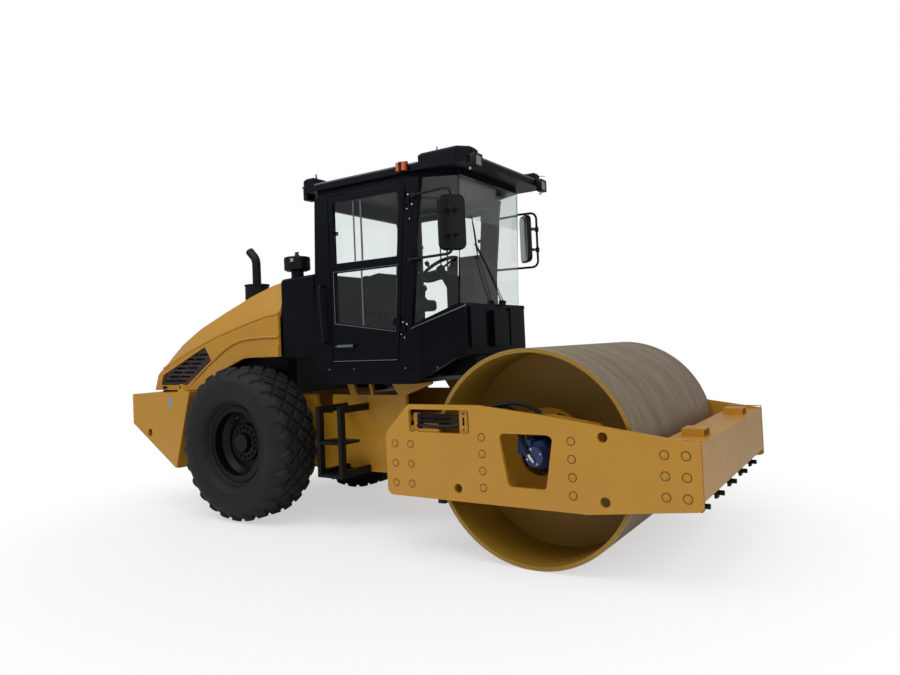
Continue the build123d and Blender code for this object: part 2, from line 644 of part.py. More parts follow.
def tyre(side):
    """Wide flotation tyre with diamond tread blocks, hollow, in flat facets, seated on the rim."""
    middle = side * TYRE_TRACK / 2
    round_all = range(2 * TREAD_COUNT)
    round_even = range(0, 2 * TREAD_COUNT, 2)
    facets = []

    def at(k, r, a):
        """Corner at k half blocks round, r from the axle and a from the tyre's middle."""
        angle = (k % (2 * TREAD_COUNT)) * TREAD_TURN
        return (AXLE_X + r * cos(angle), middle + a, AXLE_Z + r * sin(angle))

    def groove(k, row):
        """Bottom of the grooves where four blocks meet."""
        if abs(row) > TREAD_ROWS[-1]:
            return at(k, TREAD_FOOT[1], copysign(TREAD_FOOT[0], row))
        return at(k, crown_radius(row * TREAD_ROW) - TREAD_DEPTH, row * TREAD_ROW)

    def corner(k, row, ahead, beside):
        """Corner of a block's top."""
        a = (row + TREAD_TOP * beside) * TREAD_ROW
        return at(k + TREAD_TOP * ahead, crown_radius(a), a)

    steps = ((1, 0), (0, 1), (-1, 0), (0, -1))  # half blocks round, rows across
    for row in TREAD_ROWS:
        for start in round_even:
            k = start + row % 2
            top = [corner(k, row, *step) for step in steps]
            foot = [groove(k + step[0], row + step[1]) for step in steps]
            fold = 0 if abs(row) == TREAD_ROWS[-1] else 1
            facets += [[top[fold], top[fold + 1], top[fold + 2]], [top[fold + 2], top[fold - 1], top[fold]]]
            for n in range(4):
                facets += [[top[n - 1], top[n], foot[n]], [top[n - 1], foot[n], foot[n - 1]]]
    edge = TREAD_ROWS[-1]
    for hand in SIDES:
        rings = [[at(k, r, hand * a) for k in round_all] for r, a in SIDEWALL]
        liner = [[at(k, r, hand * a) for k in round_even] for r, a in TYRE_LINER]
        rim_foot = [groove(k, hand * (edge + 1)) for k in round_even]
        for n, k in enumerate(round_even):
            after = (n + 1) % TREAD_COUNT
            facets.append([rim_foot[n], groove(k + 1, hand * edge), rim_foot[after]])
            for few, many in ((rim_foot, rings[0]), (liner[0], rings[-1])):
                ahead = many[(k + 2) % len(many)]
                facets += [[few[n], many[k], many[k + 1]], [few[n], many[k + 1], few[after]]]
                facets.append([few[after], many[k + 1], ahead])
        for inner, outer in zip(rings, rings[1:]):
            facets += [[inner[k - 1], inner[k], outer[k], outer[k - 1]] for k in round_all]
        for inner, outer in zip(liner, liner[1:]):
            facets += [[inner[n - 1], inner[n], outer[n], outer[n - 1]] for n in range(TREAD_COUNT)]
    r, a = TYRE_LINER[-1]
    crown = [[at(k, r, hand * a) for k in round_even] for hand in SIDES]
    facets += [[crown[0][n - 1], crown[0][n], crown[1][n], crown[1][n - 1]] for n in range(TREAD_COUNT)]
    return Solid(Shell([Face(Wire.make_polygon(points, close=True)) for points in facets]))


def rim(side):
    """Steel rim with a deep dished disc and the hub with its cap."""
    middle = side * TYRE_TRACK / 2
    edge = RIM_WIDTH / 2
    seat, flange, hub = RIM_D / 2, RIM_FLANGE_D / 2, HUB_CAP_D / 2
    bore = SPINDLE_D / 2 + PIN_CLEARANCE
    rows = (  # distance from the axle, distance outwards from the rim's middle
        (flange, edge),
        (flange, edge - 14),
        (seat, edge - 14),
        (seat, 14 - edge),
        (flange, 14 - edge),
        (flange, -edge),
        (seat - 16, -edge),
        (seat - 16, -10),
        (hub + 30, -10),
        (hub, -30),
        (bore, -30),
        (bore, 40),
        (0, 40),
        (0, 95),
        (hub - 95, 95),
        (hub - 80, 55),
        (hub - 8, 50),
        (hub, 42),
        (hub, RIM_DISC_T - 10),
        (seat - 60, RIM_DISC_T - 10),
        (seat - 16, 60),
        (seat - 16, edge),
    )
    return turned_y([(r, middle + side * a) for r, a in rows], AXLE_X, AXLE_Z)


# ---------------------------------------------------------------- ballast and engine
LUG_HOLE_D = 44.0
LUG_HOLE = (BALLAST_FRONT_X - 80, 1255.0)  # x, z of the lifting lug's hole
TIE_SLOT = (BALLAST_FRONT_X - 605, 785.0, 70.0, 40.0)  # x, z, width, depth below the round end


TAIL_LAMP_Y = ((650.0, 730.0), (740.0, 850.0))  # distances from the centre plane of each lamp
TAIL_LAMP_Z = (1030.0, 1110.0)
TAIL_LAMP_T = 25.0


def ballast():
    """Ballast box closing the rear of the machine, with its lifting lugs."""
    foot, rear_foot, rear_top, top = BALLAST_Z
    rear_x, front_x, foot_x = BALLAST_REAR_X, BALLAST_FRONT_X, BALLAST_FRONT_X - BALLAST_LEAN
    inner = BALLAST_Y - BALLAST_T
    outline = ((rear_x, rear_foot, 0), (rear_x, rear_top, 12), (front_x, top, 0), (foot_x, foot, 0))
    box = slab_xz(outline, -inner, inner)
    hollow = (
        (rear_x + 60, rear_foot + 20, 0),
        (rear_x + 60, rear_top - 65, 0),
        (front_x - 125, top - 70, 0),
        (foot_x - 70, foot + 135, 0),
    )
    box -= slab_xz(hollow, 1 - inner, inner - 1)
    lug_x, lug_z = LUG_HOLE
    cheek = (
        (rear_x, rear_foot, 0),
        (rear_x, rear_top, 12),
        (front_x - 120, top - 3, 0),
        (front_x - 120, lug_z + 10, 40),
        (lug_x + 25, lug_z + 45, 30),
        (front_x - 15, top + 15, 10),
        (front_x + 65, top + 15, 10),
        (foot_x, foot, 12),
    )
    slot_x, slot_z, slot_w, slot_drop = TIE_SLOT
    for side in SIDES:
        y = span(inner, BALLAST_Y, side)
        through = (y[0] - 1, y[1] + 1)
        box += slab_xz(cheek, *y) - rod_y(LUG_HOLE_D, lug_x, through, lug_z)
        pocket = span(inner - 40, BALLAST_Y + 1, side)
        box -= rod_y(slot_w, slot_x, pocket, slot_z)
        box -= block((slot_x - slot_w / 2, slot_x + slot_w / 2), pocket, (slot_z - slot_drop, slot_z))
        for low, high in TAIL_LAMP_Y:
            box -= block((rear_x - 1, rear_x + TAIL_LAMP_T), span(low, high, side), TAIL_LAMP_Z)
    return box


def tail_lamps():
    """Tail and reversing lamps, set into the ballast's rear face."""
    solids = []
    for side in SIDES:
        for low, high in TAIL_LAMP_Y:
            depth = (BALLAST_REAR_X, BALLAST_REAR_X + TAIL_LAMP_T)
            solids.append(block(depth, span(low, high, side), TAIL_LAMP_Z))
    return gather(*solids)


ENGINE_Y = 330.0
ENGINE_TOP_Z = 1800.0


def engine():
    """Diesel engine as one plain block, standing on the chassis under the hood."""
    rear, front = AXLE_X - 670, AXLE_X + 180
    feet = CHASSIS_TOP + 60
    sump = block((rear, front), (-CHASSIS_Y, CHASSIS_Y), (CHASSIS_TOP, feet))
    outline = (
        (rear, feet, 0),
        (rear, ENGINE_TOP_Z - 300, 0),
        (rear + 450, ENGINE_TOP_Z, 0),
        (front, ENGINE_TOP_Z, 0),
        (front, feet, 0),
    )
    return sump + slab_xz(outline, -ENGINE_Y, ENGINE_Y)


# ---------------------------------------------------------------- hood
HOOD_STATIONS = (  # x behind the rear axle, z of the top, upper and lower edge of the crease
    (-HOOD_FRONT, 2272, 1979, 1915),
    (-130, 2235, 1950, 1890),
    (180, 2150, 1880, 1824),
    (600, 2004, 1770, 1720),
    (980, 1862, 1645, 1598),
    (1260, 1717, 1536, 1490),
    (1430, 1598, 1466, 1424),
    (1525, 1520, 1412, 1372),
)
HOOD_TAIL = 1587.0  # foot of the tail behind the rear axle
HOOD_SIDE_Y = HOOD_Y - HOOD_LIP
HOOD_CREASE_Y = HOOD_SIDE_Y - 32
HOOD_ROOF_Y = HOOD_SIDE_Y - 135
HOOD_AXIS = (HOOD_FRONT_X + 20, 2245.0)  # x, z of the line on which the hood tips
HOOD_HINGE_Y = 300.0
HOOD_HINGE_W = 30.0
HOOD_HINGE_D = 36.0
HOOD_ARCH = (  # lower edge around the tyre: x ahead of the axle, z, corner radius
    (HOOD_FRONT + 2, HOOD_BOTTOM - 100, 0),
    (HOOD_FRONT + 2, TYRE_D + 82, 0),
    (-120, TYRE_D + 82, 400),
    (-480, TYRE_D - 45, 400),
    (-770, HOOD_BOTTOM, 0),
    (-770, HOOD_BOTTOM - 100, 0),
)
HOOD_LIP_TOP = (  # upper edge of the arch lip: x ahead of the axle, z, corner radius
    (-1030, HOOD_BOTTOM, 0),
    (-570, TYRE_D + 50, 400),
    (-160, TYRE_D + 190, 400),
    (HOOD_FRONT, TYRE_D + 190, 0),
)
GRILLE_CORNERS = (  # x behind the rear axle, z, corner radius
    (730, 1660, 12),
    (632, 1515, 12),
    (1032, 1264, 12),
    (1480, 1266, 12),
    (1440, 1372, 12),
)


def hood_body(inset):
    """Solid of the hood's outside, or of its inside with a wall's inset."""
    foot = HOOD_BOTTOM - 150
    sections = []
    tail = (HOOD_TAIL + 20, HOOD_BOTTOM - 20, HOOD_BOTTOM - 40, HOOD_BOTTOM - 60)
    for back, top, crease_high, crease_low in HOOD_STATIONS + (tail,):
        half = (
            (HOOD_SIDE_Y - inset, foot),
            (HOOD_SIDE_Y - inset, crease_low - inset / 2),
            (HOOD_CREASE_Y - inset, crease_high - inset / 2),
            (HOOD_ROOF_Y - inset, top - 22 - inset),
            (HOOD_ROOF_Y - 35 - inset, top - inset),
        )
        rows = [(y, z) for y, z in half] + [(-y, z) for y, z in reversed(half)]
        x = AXLE_X - back
        sections.append(make_face(Polyline(*[(x, y, z) for y, z in rows], close=True)))
    return loft(sections, ruled=True)


TAIL_SLOT_ROWS = 5
TAIL_SLOT_PITCH = 40.0
TAIL_SLOT_H = 18.0
TAIL_SLOT_X = (AXLE_X - HOOD_TAIL - 20, AXLE_X - HOOD_TAIL + 160)
TAIL_SLOT_Y = (30.0, 430.0)  # distances from the centre plane


def hood():
    """One-piece engine hood with creased sides, lipped wheel arches and a sloping tail."""
    shell = hood_body(0)
    for side in SIDES:
        lip = [(AXLE_X + ahead, z, r) for ahead, z, r in HOOD_LIP_TOP]
        lip += [(AXLE_X + HOOD_FRONT, HOOD_BOTTOM, 0)]
        shell += slab_xz(lip, *span(HOOD_SIDE_Y - HOOD_T, HOOD_Y, side))
    shell -= Pos(HOOD_T, 0, 0) * hood_body(HOOD_T)
    arch = [(AXLE_X + ahead, z, r) for ahead, z, r in HOOD_ARCH]
    shell -= slab_xz(arch, -HOOD_Y - 1, HOOD_Y + 1)
    shell -= block(
        (AXLE_X - HOOD_TAIL - 100, HOOD_FRONT_X + 100),
        (-HOOD_Y - 1, HOOD_Y + 1),
        (HOOD_BOTTOM - 200, HOOD_BOTTOM),
    )
    for side in SIDES:
        shell -= slab_xz(grille_outline(), *span(HOOD_SIDE_Y - HOOD_T - 2, HOOD_Y + 1, side))
    shell -= rod_z(SILENCER_D, *SILENCER_XY, (SILENCER_Z[0], SILENCER_Z[1] + 200))
    for row in range(TAIL_SLOT_ROWS):
        z = HOOD_BOTTOM + TAIL_SLOT_PITCH * (row + 1)
        for side in SIDES:
            shell -= block(TAIL_SLOT_X, span(*TAIL_SLOT_Y, side), (z, z + TAIL_SLOT_H))
    axis_x, axis_z = HOOD_AXIS
    for side in SIDES:
        y = span(HOOD_HINGE_Y - HOOD_HINGE_W / 2, HOOD_HINGE_Y + HOOD_HINGE_W / 2, side)
        shell += block((axis_x - 60, axis_x), y, (axis_z - 15, axis_z + 10))
        shell += rod_y(HOOD_HINGE_D, axis_x, y, axis_z)
        shell -= rod_y(HINGE_PIN_D + 2 * PIN_CLEARANCE, axis_x, (y[0] - 1, y[1] + 1), axis_z)
    return shell


def grille_outline():
    """Corners of a side grille."""
    return [(AXLE_X - back, z, r) for back, z, r in GRILLE_CORNERS]


def hood_grilles():
    """Side grilles of the hood: sheets with rows of louvres."""

    def grille(side):
        panel = slab_xz(grille_outline(), *span(HOOD_SIDE_Y - 20, HOOD_SIDE_Y - 10, side))
        for row in range(7):
            z = 1300 + 45 * row
            low = AXLE_X - 1410 + 68 * row
            high = AXLE_X - 1055 + 62 * row
            middle = (low + high) / 2
            for x in ((low, middle - 10), (middle + 10, high)):
                panel -= block(x, span(HOOD_SIDE_Y - 21, HOOD_SIDE_Y - 9, side), (z, z + 18))
        return panel

    return both_sides(grille)


SILENCER_XY = (AXLE_X - 390, -300.0)
SILENCER_Z = (1850.0, 2300.0)


def exhaust():
    """Silencer standing through the hood, with a bent tailpipe cut level with its bend."""
    x, y = SILENCER_XY
    low, high = SILENCER_Z
    silencer = rod_z(SILENCER_D, x, y, (low, high)) + rod_z(SILENCER_D + 16, x, y, (high - 14, high - 4))
    silencer -= rod_z(SILENCER_D - 16, x, y, (low + 8, high - 8))
    route = ((x, y, high - 4), (x, y, high + 270), (x - 95, y, high + 365))
    tail = pipe(route, [130], TAILPIPE_D)
    tail -= pipe(route, [130], TAILPIPE_D - 12)
    return silencer + tail


def cowl():
    """Closed cowl between the cab and the hood, rounded at its top."""
    under, top, top_front = COWL_Z
    rear, front = HOOD_FRONT_X + 8, CAB_X
    outline = ((rear, under, 0), (rear, top, 45), (front, top_front, 0), (front, under, 0))
    body = slab_xz(outline, -COWL_Y, COWL_Y)
    rims = body.edges().filter_by(
        lambda edge: edge.center().Z > top - 40 and abs(edge.center().Y) > COWL_Y - 1
    )
    body = fillet(rims, 28)
    axis_x, axis_z = HOOD_AXIS
    room = HOOD_HINGE_D / 2 + MOVING_GAP
    for side in SIDES:
        half = HOOD_HINGE_W / 2 + MOVING_GAP
        pocket_y = span(HOOD_HINGE_Y - half, HOOD_HINGE_Y + half, side)
        body -= block((rear - 1, axis_x + room), pocket_y, (axis_z - room, top_front))
        body += rod_y(HINGE_PIN_D, axis_x, (pocket_y[0] - 1, pocket_y[1] + 1), axis_z)
    return body


PRECLEANER = (HOOD_FRONT_X + 105, -560.0, 250.0)  # x, y, diameter of the cap


def precleaner():
    """Air intake with its round rain cap, on top of the cowl."""
    x, y, cap_d = PRECLEANER
    top = COWL_Z[1]
    neck = rod_z(120, x, y, (top - 40, top + 82))
    cap = turned_z(
        (
            (0, top + 80),
            (cap_d / 2 - 25, top + 80),
            (cap_d / 2, top + 92),
            (cap_d / 2, top + 205),
            (cap_d / 2 - 8, top + 214),
            (30, top + 224),
            (20, top + 242),
            (0, top + 242),
        ),
        x,
        y,
    )
    return (neck + cap) - cowl()


# ---------------------------------------------------------------- cab
DOOR_REAR = (CAB_X + 210, CAB_X + 215)  # x of the door opening's rear edge at sill and cab top
DOOR_FRONT = (CAB_X + 950, CAB_X + 1088)
PILLAR_FRONT = (CAB_X + 1062, CAB_X + 1228)
CAB_TURN_X = CAB_X + 1170  # where the sides turn in towards the front
REAR_LEAN = 60.0  # rear wall, from the sill to the top


def leaning(edge, z):
    """x of a leaning edge, given at the sill and at the cab's top, at height z."""
    return edge[0] + (edge[1] - edge[0]) * (z - CAB_SILL_Z) / (CAB_TOP_Z - CAB_SILL_Z)


SCREEN_X = (NOSE_X - 66, NOSE_X - 4)  # windscreen's outside, at the sill's and the cab top's height


def cab_plan(inset, z_low, z_high, rear=CAB_X):
    """Plan of the cab as a prism, smaller by an inset."""
    half = CAB_Y - inset
    front = (NOSE_X - inset, CAB_FRONT_Y + 8 - inset * 0.8)
    points = [(rear + inset, -half), (CAB_TURN_X, -half), (front[0], -front[1])]
    points += [(x, -y) for x, y in reversed(points)]
    return slab_xy([(x, y, 0) for x, y in points], z_low, z_high)


def cab_floor():
    """Floor pan with its skirt."""
    foot = CAB_FLOOR_Z
    front = CAB_X + 1100  # where the pan starts to rise to the front panels
    floor = cab_plan(0, foot, CAB_SILL_Z)
    floor -= cab_plan(CAB_WALL, foot + CAB_FLOOR_T, CAB_SILL_Z + 1)
    floor -= block((CAB_X - 100, CAB_X + 130), (-CAB_Y - 1, CAB_Y + 1), (foot - 1, CAB_SKIRT_Z))
    under = (
        (front, foot - 1, 0),
        (NOSE_X + 170, foot - 1, 0),
        (NOSE_X + 170, foot + 355, 0),
        (NOSE_X, foot + 255, 0),
    )
    floor -= slab_xz(under, -CAB_Y - 1, CAB_Y + 1)
    for side in SIDES:  # pressed rib along the sill
        lip = (CAB_SKIRT_Z, CAB_SKIRT_Z + 25)
        floor += block((CAB_X + 130, front), span(CAB_Y - 1, CAB_Y + 6, side), lip)
    return floor


HINGE_Z = (1700.0, 2760.0)
HINGE_LINE = (DOOR_FRONT[0] - 2, DOOR_FRONT[1] - 2)  # x at the sill and at the cab's top
HINGE_Y = CAB_Y + HINGE_D / 2
LEAF_LENGTH = 56.0
LEAF_SPACE = 6.0  # from the hinge line to the leaf


def hinge_part(side, z, height, d):
    """Round bar on the door's leaning hinge line, upwards from height z."""
    lean = degrees(atan2(HINGE_LINE[1] - HINGE_LINE[0], CAB_TOP_Z - CAB_SILL_Z))
    bar = Pos(0, 0, height / 2) * Cylinder(d / 2, height)
    return Pos(leaning(HINGE_LINE, z), side * HINGE_Y, z) * Rot(0, lean, 0) * bar


def hinge_leaf(side, z, height, ahead):
    """Flat leaf beside a knuckle: towards the front on the cab, towards the rear on the door."""
    at = leaning(HINGE_LINE, z + height / 2)
    near, far = LEAF_SPACE, LEAF_SPACE + LEAF_LENGTH
    x = (at + near, at + far) if ahead else (at - far, at - near)
    return block(x, span(CAB_Y - 1, HINGE_Y, side), (z + 1, z + height - 1))


def cab_frame():
    """Rear wall, rear and middle pillars with the door hinges, and the rail below the roof."""
    z0, z1 = CAB_SILL_Z, CAB_TOP_Z
    rear = (CAB_X, CAB_X + REAR_LEAN)
    outline = ((rear[0], z0, 0), (rear[1], z1, 0), (PILLAR_FRONT[1], z1, 0), (PILLAR_FRONT[0], z0, 0))
    shell = slab_xz(outline, -CAB_Y, CAB_Y)
    beyond = PILLAR_FRONT[1] + 60
    inside = (
        (rear[0] + CAB_WALL, z0 - 1, 0),
        (rear[1] + CAB_WALL, z1 + 1, 0),
        (beyond, z1 + 1, 0),
        (beyond, z0 - 1, 0),
    )
    inner = CAB_Y - CAB_WALL
    shell -= slab_xz(inside, -inner, inner)
    door_hole = (
        (leaning(DOOR_REAR, z0), z0 - 1, 0),
        (leaning(DOOR_REAR, HEADER_Z), HEADER_Z, 30),
        (leaning(DOOR_FRONT, HEADER_Z), HEADER_Z, 30),
        (leaning(DOOR_FRONT, z0), z0 - 1, 0),
    )
    shell -= slab_xz(door_hole, -CAB_Y - 1, CAB_Y + 1)
    shell -= block((CAB_X - 50, CAB_X + 130), (-REAR_WINDOW_Y, REAR_WINDOW_Y), REAR_WINDOW_Z)
    for side in SIDES:
        for z in HINGE_Z:
            shell += hinge_leaf(side, z, 60, True) + hinge_part(side, z, 60, HINGE_D)
            shell += hinge_part(side, z + 1, 119, HINGE_PIN_D)
    return shell


REAR_WINDOW_Y = 560.0
REAR_WINDOW_Z = (1980.0, 2880.0)
NOSE_WALL = 40.0
LEDGE_Z = (1745.0, SCREEN_Z)  # top edge of the side panels at the pillar and at the front
COVER_Y = 135.0


def cab_nose():
    """Lower front panels of the cab, up to the windows, with the wiper motor's cover."""
    z0 = CAB_SILL_Z
    nose = cab_plan(0, z0, SCREEN_Z) - cab_plan(NOSE_WALL, z0 - 1, SCREEN_Z + 1)
    front_foot = CAB_FLOOR_Z + 255
    nose += block((NOSE_X - 1, NOSE_X + 50), (-COVER_Y, COVER_Y), (front_foot + 30, SCREEN_Z - 60))
    for side in SIDES:  # raised panels beside the cover
        panel_y = span(COVER_Y + 90, CAB_FRONT_Y - 60, side)
        nose += block((NOSE_X - 1, NOSE_X + 20), panel_y, (front_foot + 30, SCREEN_Z - 30))
    keep = (
        (PILLAR_FRONT[0], z0, 0),
        (leaning(PILLAR_FRONT, LEDGE_Z[0]), LEDGE_Z[0], 0),
        (leaning(SCREEN_X, SCREEN_Z), LEDGE_Z[1], 0),
        (NOSE_X + 100, LEDGE_Z[1], 0),
        (NOSE_X + 100, front_foot, 0),
        (NOSE_X - 100, z0, 0),
    )
    return nose & slab_xz(keep, -CAB_Y - 1, CAB_Y + 1)


ROOF_Z = CAB_TOP_Z + 50  # underside of the roof's overhang
ROOF_REAR_X = CAB_X - 70
ROOF_FRONT_X = NOSE_X + 185
PODS = (  # x low, x high, distance from the centre plane
    (ROOF_FRONT_X - 455, ROOF_FRONT_X, 540),
    (ROOF_REAR_X, ROOF_REAR_X + 150, 540),
)


def roof_plan(z_low, z_high):
    """Plan of the roof as a prism with cut front corners."""
    cut = ROOF_FRONT_X - 85
    points = [(ROOF_REAR_X, -ROOF_Y, 40), (cut, -ROOF_Y, 25), (ROOF_FRONT_X, 100 - ROOF_Y, 25)]
    points += [(x, -y, r) for x, y, r in reversed(points)]
    return slab_xy(points, z_low, z_high)


def cab_roof():
    """Roof with its overhang, a raised middle and pods for the lamps at its corners."""
    roof = roof_plan(ROOF_Z, ROOF_Z + ROOF_T)
    roof = chamfer(roof.faces().sort_by(Axis.Z)[-1].edges(), 14)
    roof += cab_plan(20, CAB_TOP_Z, ROOF_Z + 1, rear=CAB_X + REAR_LEAN)
    for low, high, inside in PODS:
        for side in SIDES:
            corner = block((low, high), span(inside, ROOF_Y, side), (ROOF_Z, POD_TOP_Z))
            pod = roof_plan(ROOF_Z, POD_TOP_Z) & corner
            roof += chamfer(pod.faces().sort_by(Axis.Z)[-1].edges(), 22)
    return roof


LAMP_W = 110.0
LAMP_H = 100.0


def roof_lamps():
    """Work lamps hung in front of and behind the roof's corners."""
    solids = []
    for side in SIDES:
        for x, reach in ((ROOF_FRONT_X, 45), (ROOF_REAR_X, -40)):
            z = (ROOF_Z - 40, ROOF_Z + LAMP_H - 40)
            lamp = block(sorted((x, x + reach)), span(560, 560 + LAMP_W, side), z)
            solids.append(lamp)
    return gather(*solids)


def indicators():
    """Direction indicators on the sides of the roof."""
    x = CAB_X + 1040

    def lamp(side):
        return block((x, x + 90), span(ROOF_Y, ROOF_Y + 40, side), (ROOF_Z + 12, ROOF_Z + 82))

    return both_sides(lamp)


QUARTER_INSET = 20.0  # cab's outside to the outside of the quarter glass


def windows():
    """Fixed glass: windscreen, a quarter window on each side and the rear window."""
    low, high = SCREEN_Z, CAB_TOP_Z
    foot, head = leaning(SCREEN_X, low), leaning(SCREEN_X, high)
    screen_corners = ((foot, low, 0), (head, high, 0), (head - GLASS_T, high, 0), (foot - GLASS_T, low, 0))
    half = CAB_FRONT_Y - 12
    screen = slab_xz(screen_corners, -half, half)
    quarters = cab_plan(QUARTER_INSET, LEDGE_Z[0], high)
    quarters -= cab_plan(QUARTER_INSET + GLASS_T, LEDGE_Z[0] - 1, high + 1)
    keep = (
        (leaning(PILLAR_FRONT, LEDGE_Z[0]), LEDGE_Z[0], 0),
        (leaning(PILLAR_FRONT, high), high, 0),
        (head - GLASS_T - 2, high, 0),
        (foot - GLASS_T - 2, low, 0),
    )
    quarters &= slab_xz(keep, -CAB_Y, CAB_Y)
    rear_x = leaning((CAB_X, CAB_X + REAR_LEAN), REAR_WINDOW_Z[0]) + 20
    lean = REAR_LEAN * (REAR_WINDOW_Z[1] - REAR_WINDOW_Z[0]) / (CAB_TOP_Z - CAB_SILL_Z)
    rear_corners = (
        (rear_x, REAR_WINDOW_Z[0], 0),
        (rear_x + lean, REAR_WINDOW_Z[1], 0),
        (rear_x + lean + GLASS_T, REAR_WINDOW_Z[1], 0),
        (rear_x + GLASS_T, REAR_WINDOW_Z[0], 0),
    )
    return gather(screen, quarters, slab_xz(rear_corners, -REAR_WINDOW_Y, REAR_WINDOW_Y))


DOOR_RAIL = 60.0  # width of the door's frame beside its panes
DOOR_PANES = (  # z of the lower edge at the rear and at the front, z of the upper edge
    (1818.0, 1722.0, 2262.0),
    (2345.0, 2345.0, 2892.0),
)


def pane_corners(pane, inset):
    """Corners of a door pane, smaller by an inset."""
    rear_low, front_low, high = pane
    rear, front = (DOOR_REAR, DOOR_RAIL + inset), (DOOR_FRONT, -DOOR_RAIL - inset)
    rows = ((rear, rear_low + inset), (rear, high - inset), (front, high - inset), (front, front_low + inset))
    return [(leaning(edge, z) + shift, z, 15) for (edge, shift), z in rows]


def door(side):
    """Door frame with two window openings, a lower panel, its hinge knuckles and a handle."""
    z0, z1 = CAB_SILL_Z + DOOR_GAP, HEADER_Z - DOOR_GAP
    y = span(CAB_Y - DOOR_T, CAB_Y, side)
    rows = (
        (DOOR_REAR, DOOR_GAP, z0),
        (DOOR_REAR, DOOR_GAP, z1),
        (DOOR_FRONT, -DOOR_GAP, z1),
        (DOOR_FRONT, -DOOR_GAP, z0),
    )
    leaf = slab_xz([(leaning(edge, z) + shift, z, 20) for edge, shift, z in rows], *y)
    for pane in DOOR_PANES:
        leaf -= slab_xz(pane_corners(pane, 0), y[0] - 1, y[1] + 1)
    grip_x, grip_z = (DOOR_REAR[0] + 80, DOOR_REAR[0] + 270), 1604
    leaf += block(grip_x, span(CAB_Y + 18, CAB_Y + 30, side), (grip_z - 10, grip_z + 10))
    for x in grip_x:
        leaf += block((x - 8, x + 8), span(CAB_Y - 1, CAB_Y + 30, side), (grip_z - 10, grip_z + 10))
    for z in HINGE_Z:
        knuckle = hinge_part(side, z + 63, 60, HINGE_D) + hinge_leaf(side, z + 63, 60, False)
        leaf += knuckle
        leaf -= hinge_part(side, z + 62, 62, HINGE_PIN_D + 2 * PIN_CLEARANCE)
    return leaf


def door_glass(side):
    """The door's two panes."""
    middle = CAB_Y - DOOR_T / 2
    y = span(middle - GLASS_T / 2, middle + GLASS_T / 2, side)
    return gather(*[slab_xz(pane_corners(pane, 0), *y) for pane in DOOR_PANES])


WHEEL_CENTRE = (CAB_X + 948, 0.0, 2280.0)
WHEEL_TILT = 30.0
WHEEL_D = 380.0


def console():
    """Instrument console in front of the driver, with its rounded hood."""
    x = (CAB_X + 1150, CAB_X + 1410)
    half, top = 220, 2150
    body = block(x, (-half, half), (CAB_FLOOR_Z + CAB_FLOOR_T, top)) + rod_x(2 * half, x, 0, top)
    column = Pos(*WHEEL_CENTRE) * Rot(0, -WHEEL_TILT, 0) * Pos(0, 0, -180) * Cylinder(35, 330)
    return body + column


def steering_wheel():
    """Steering wheel."""
    reach = WHEEL_D / 2
    wheel = Torus(reach, 16) + Cylinder(40, 30)
    for k in range(3):
        wheel += Rot(0, 0, 120 * k) * Pos(reach / 2, 0, 0) * Box(reach, 26, 12)
    return Pos(*WHEEL_CENTRE) * Rot(0, -WHEEL_TILT, 0) * wheel


SEAT_Z = 1650.0
SEAT_X = CAB_X + 280  # rear edge of the cushion


def seat():
    """Driver's seat: base, cushion, back and two armrests."""
    base = block((SEAT_X + 50, SEAT_X + 400), (-200, 200), (CAB_FLOOR_Z + CAB_FLOOR_T, SEAT_Z))
    cushion = block((SEAT_X, SEAT_X + 500), (-250, 250), (SEAT_Z, SEAT_Z + 130))
    cushion = fillet(cushion.edges().filter_by(Axis.Z), 50)
    outline = (
        (SEAT_X, SEAT_Z + 100, 0),
        (SEAT_X + 100, SEAT_Z + 100, 0),
        (SEAT_X + 5, SEAT_Z + 620, 40),
        (SEAT_X - 90, SEAT_Z + 620, 30),
    )
    chair = base + cushion + slab_xz(outline, -230, 230)
    for side in SIDES:
        chair += block((SEAT_X, SEAT_X + 330), span(235, 290, side), (SEAT_Z + 270, SEAT_Z + 320))
        chair += block((SEAT_X - 20, SEAT_X + 40), span(225, 290, side), (SEAT_Z + 230, SEAT_Z + 320))
    return chair


def cab_mounts():
    """Brackets that carry the cab on the chassis: leaning gussets and a front arm on each side."""
    front_x = CAB_X + 1080
    gussets = (  # x of the head's rear edge, x of the foot's rear edge, width of head and foot
        (CAB_X + 130, CAB_X + 180, 75, 80),
        (CAB_X + 390, CAB_X + 420, 30, 30),
    )

    def mounts(side):
        y = span(CHASSIS_Y - CHASSIS_T, CHASSIS_Y, side)
        rows = [
            (
                (head, CAB_FLOOR_Z, 0),
                (foot, CHASSIS_TOP, 0),
                (foot + foot_w, CHASSIS_TOP, 0),
                (head + head_w, CAB_FLOOR_Z, 0),
            )
            for head, foot, head_w, foot_w in gussets
        ]
        rows.append(
            (
                (CHASSIS_FRONT_X - 80, CHASSIS_TOP, 0),
                (CHASSIS_FRONT_X, CHASSIS_TOP, 0),
                (front_x, CAB_FLOOR_Z - 20, 0),
                (front_x, CAB_FLOOR_Z, 0),
                (front_x - 430, CAB_FLOOR_Z, 0),
            )
        )
        return gather(*[slab_xz(corners, *y) for corners in rows])

    return both_sides(mounts)


LADDER_GAP = 175.0  # tyre to the ladder's rear post
LADDER_X = (AXLE_X + TYRE_R + LADDER_GAP, AXLE_X + TYRE_R + LADDER_GAP + 290)
LADDER_Z = (450.0, 1076.0)
LADDER_OUT = 850.0
LADDER_POST = 40.0
LADDER_MID_Z = 740.0


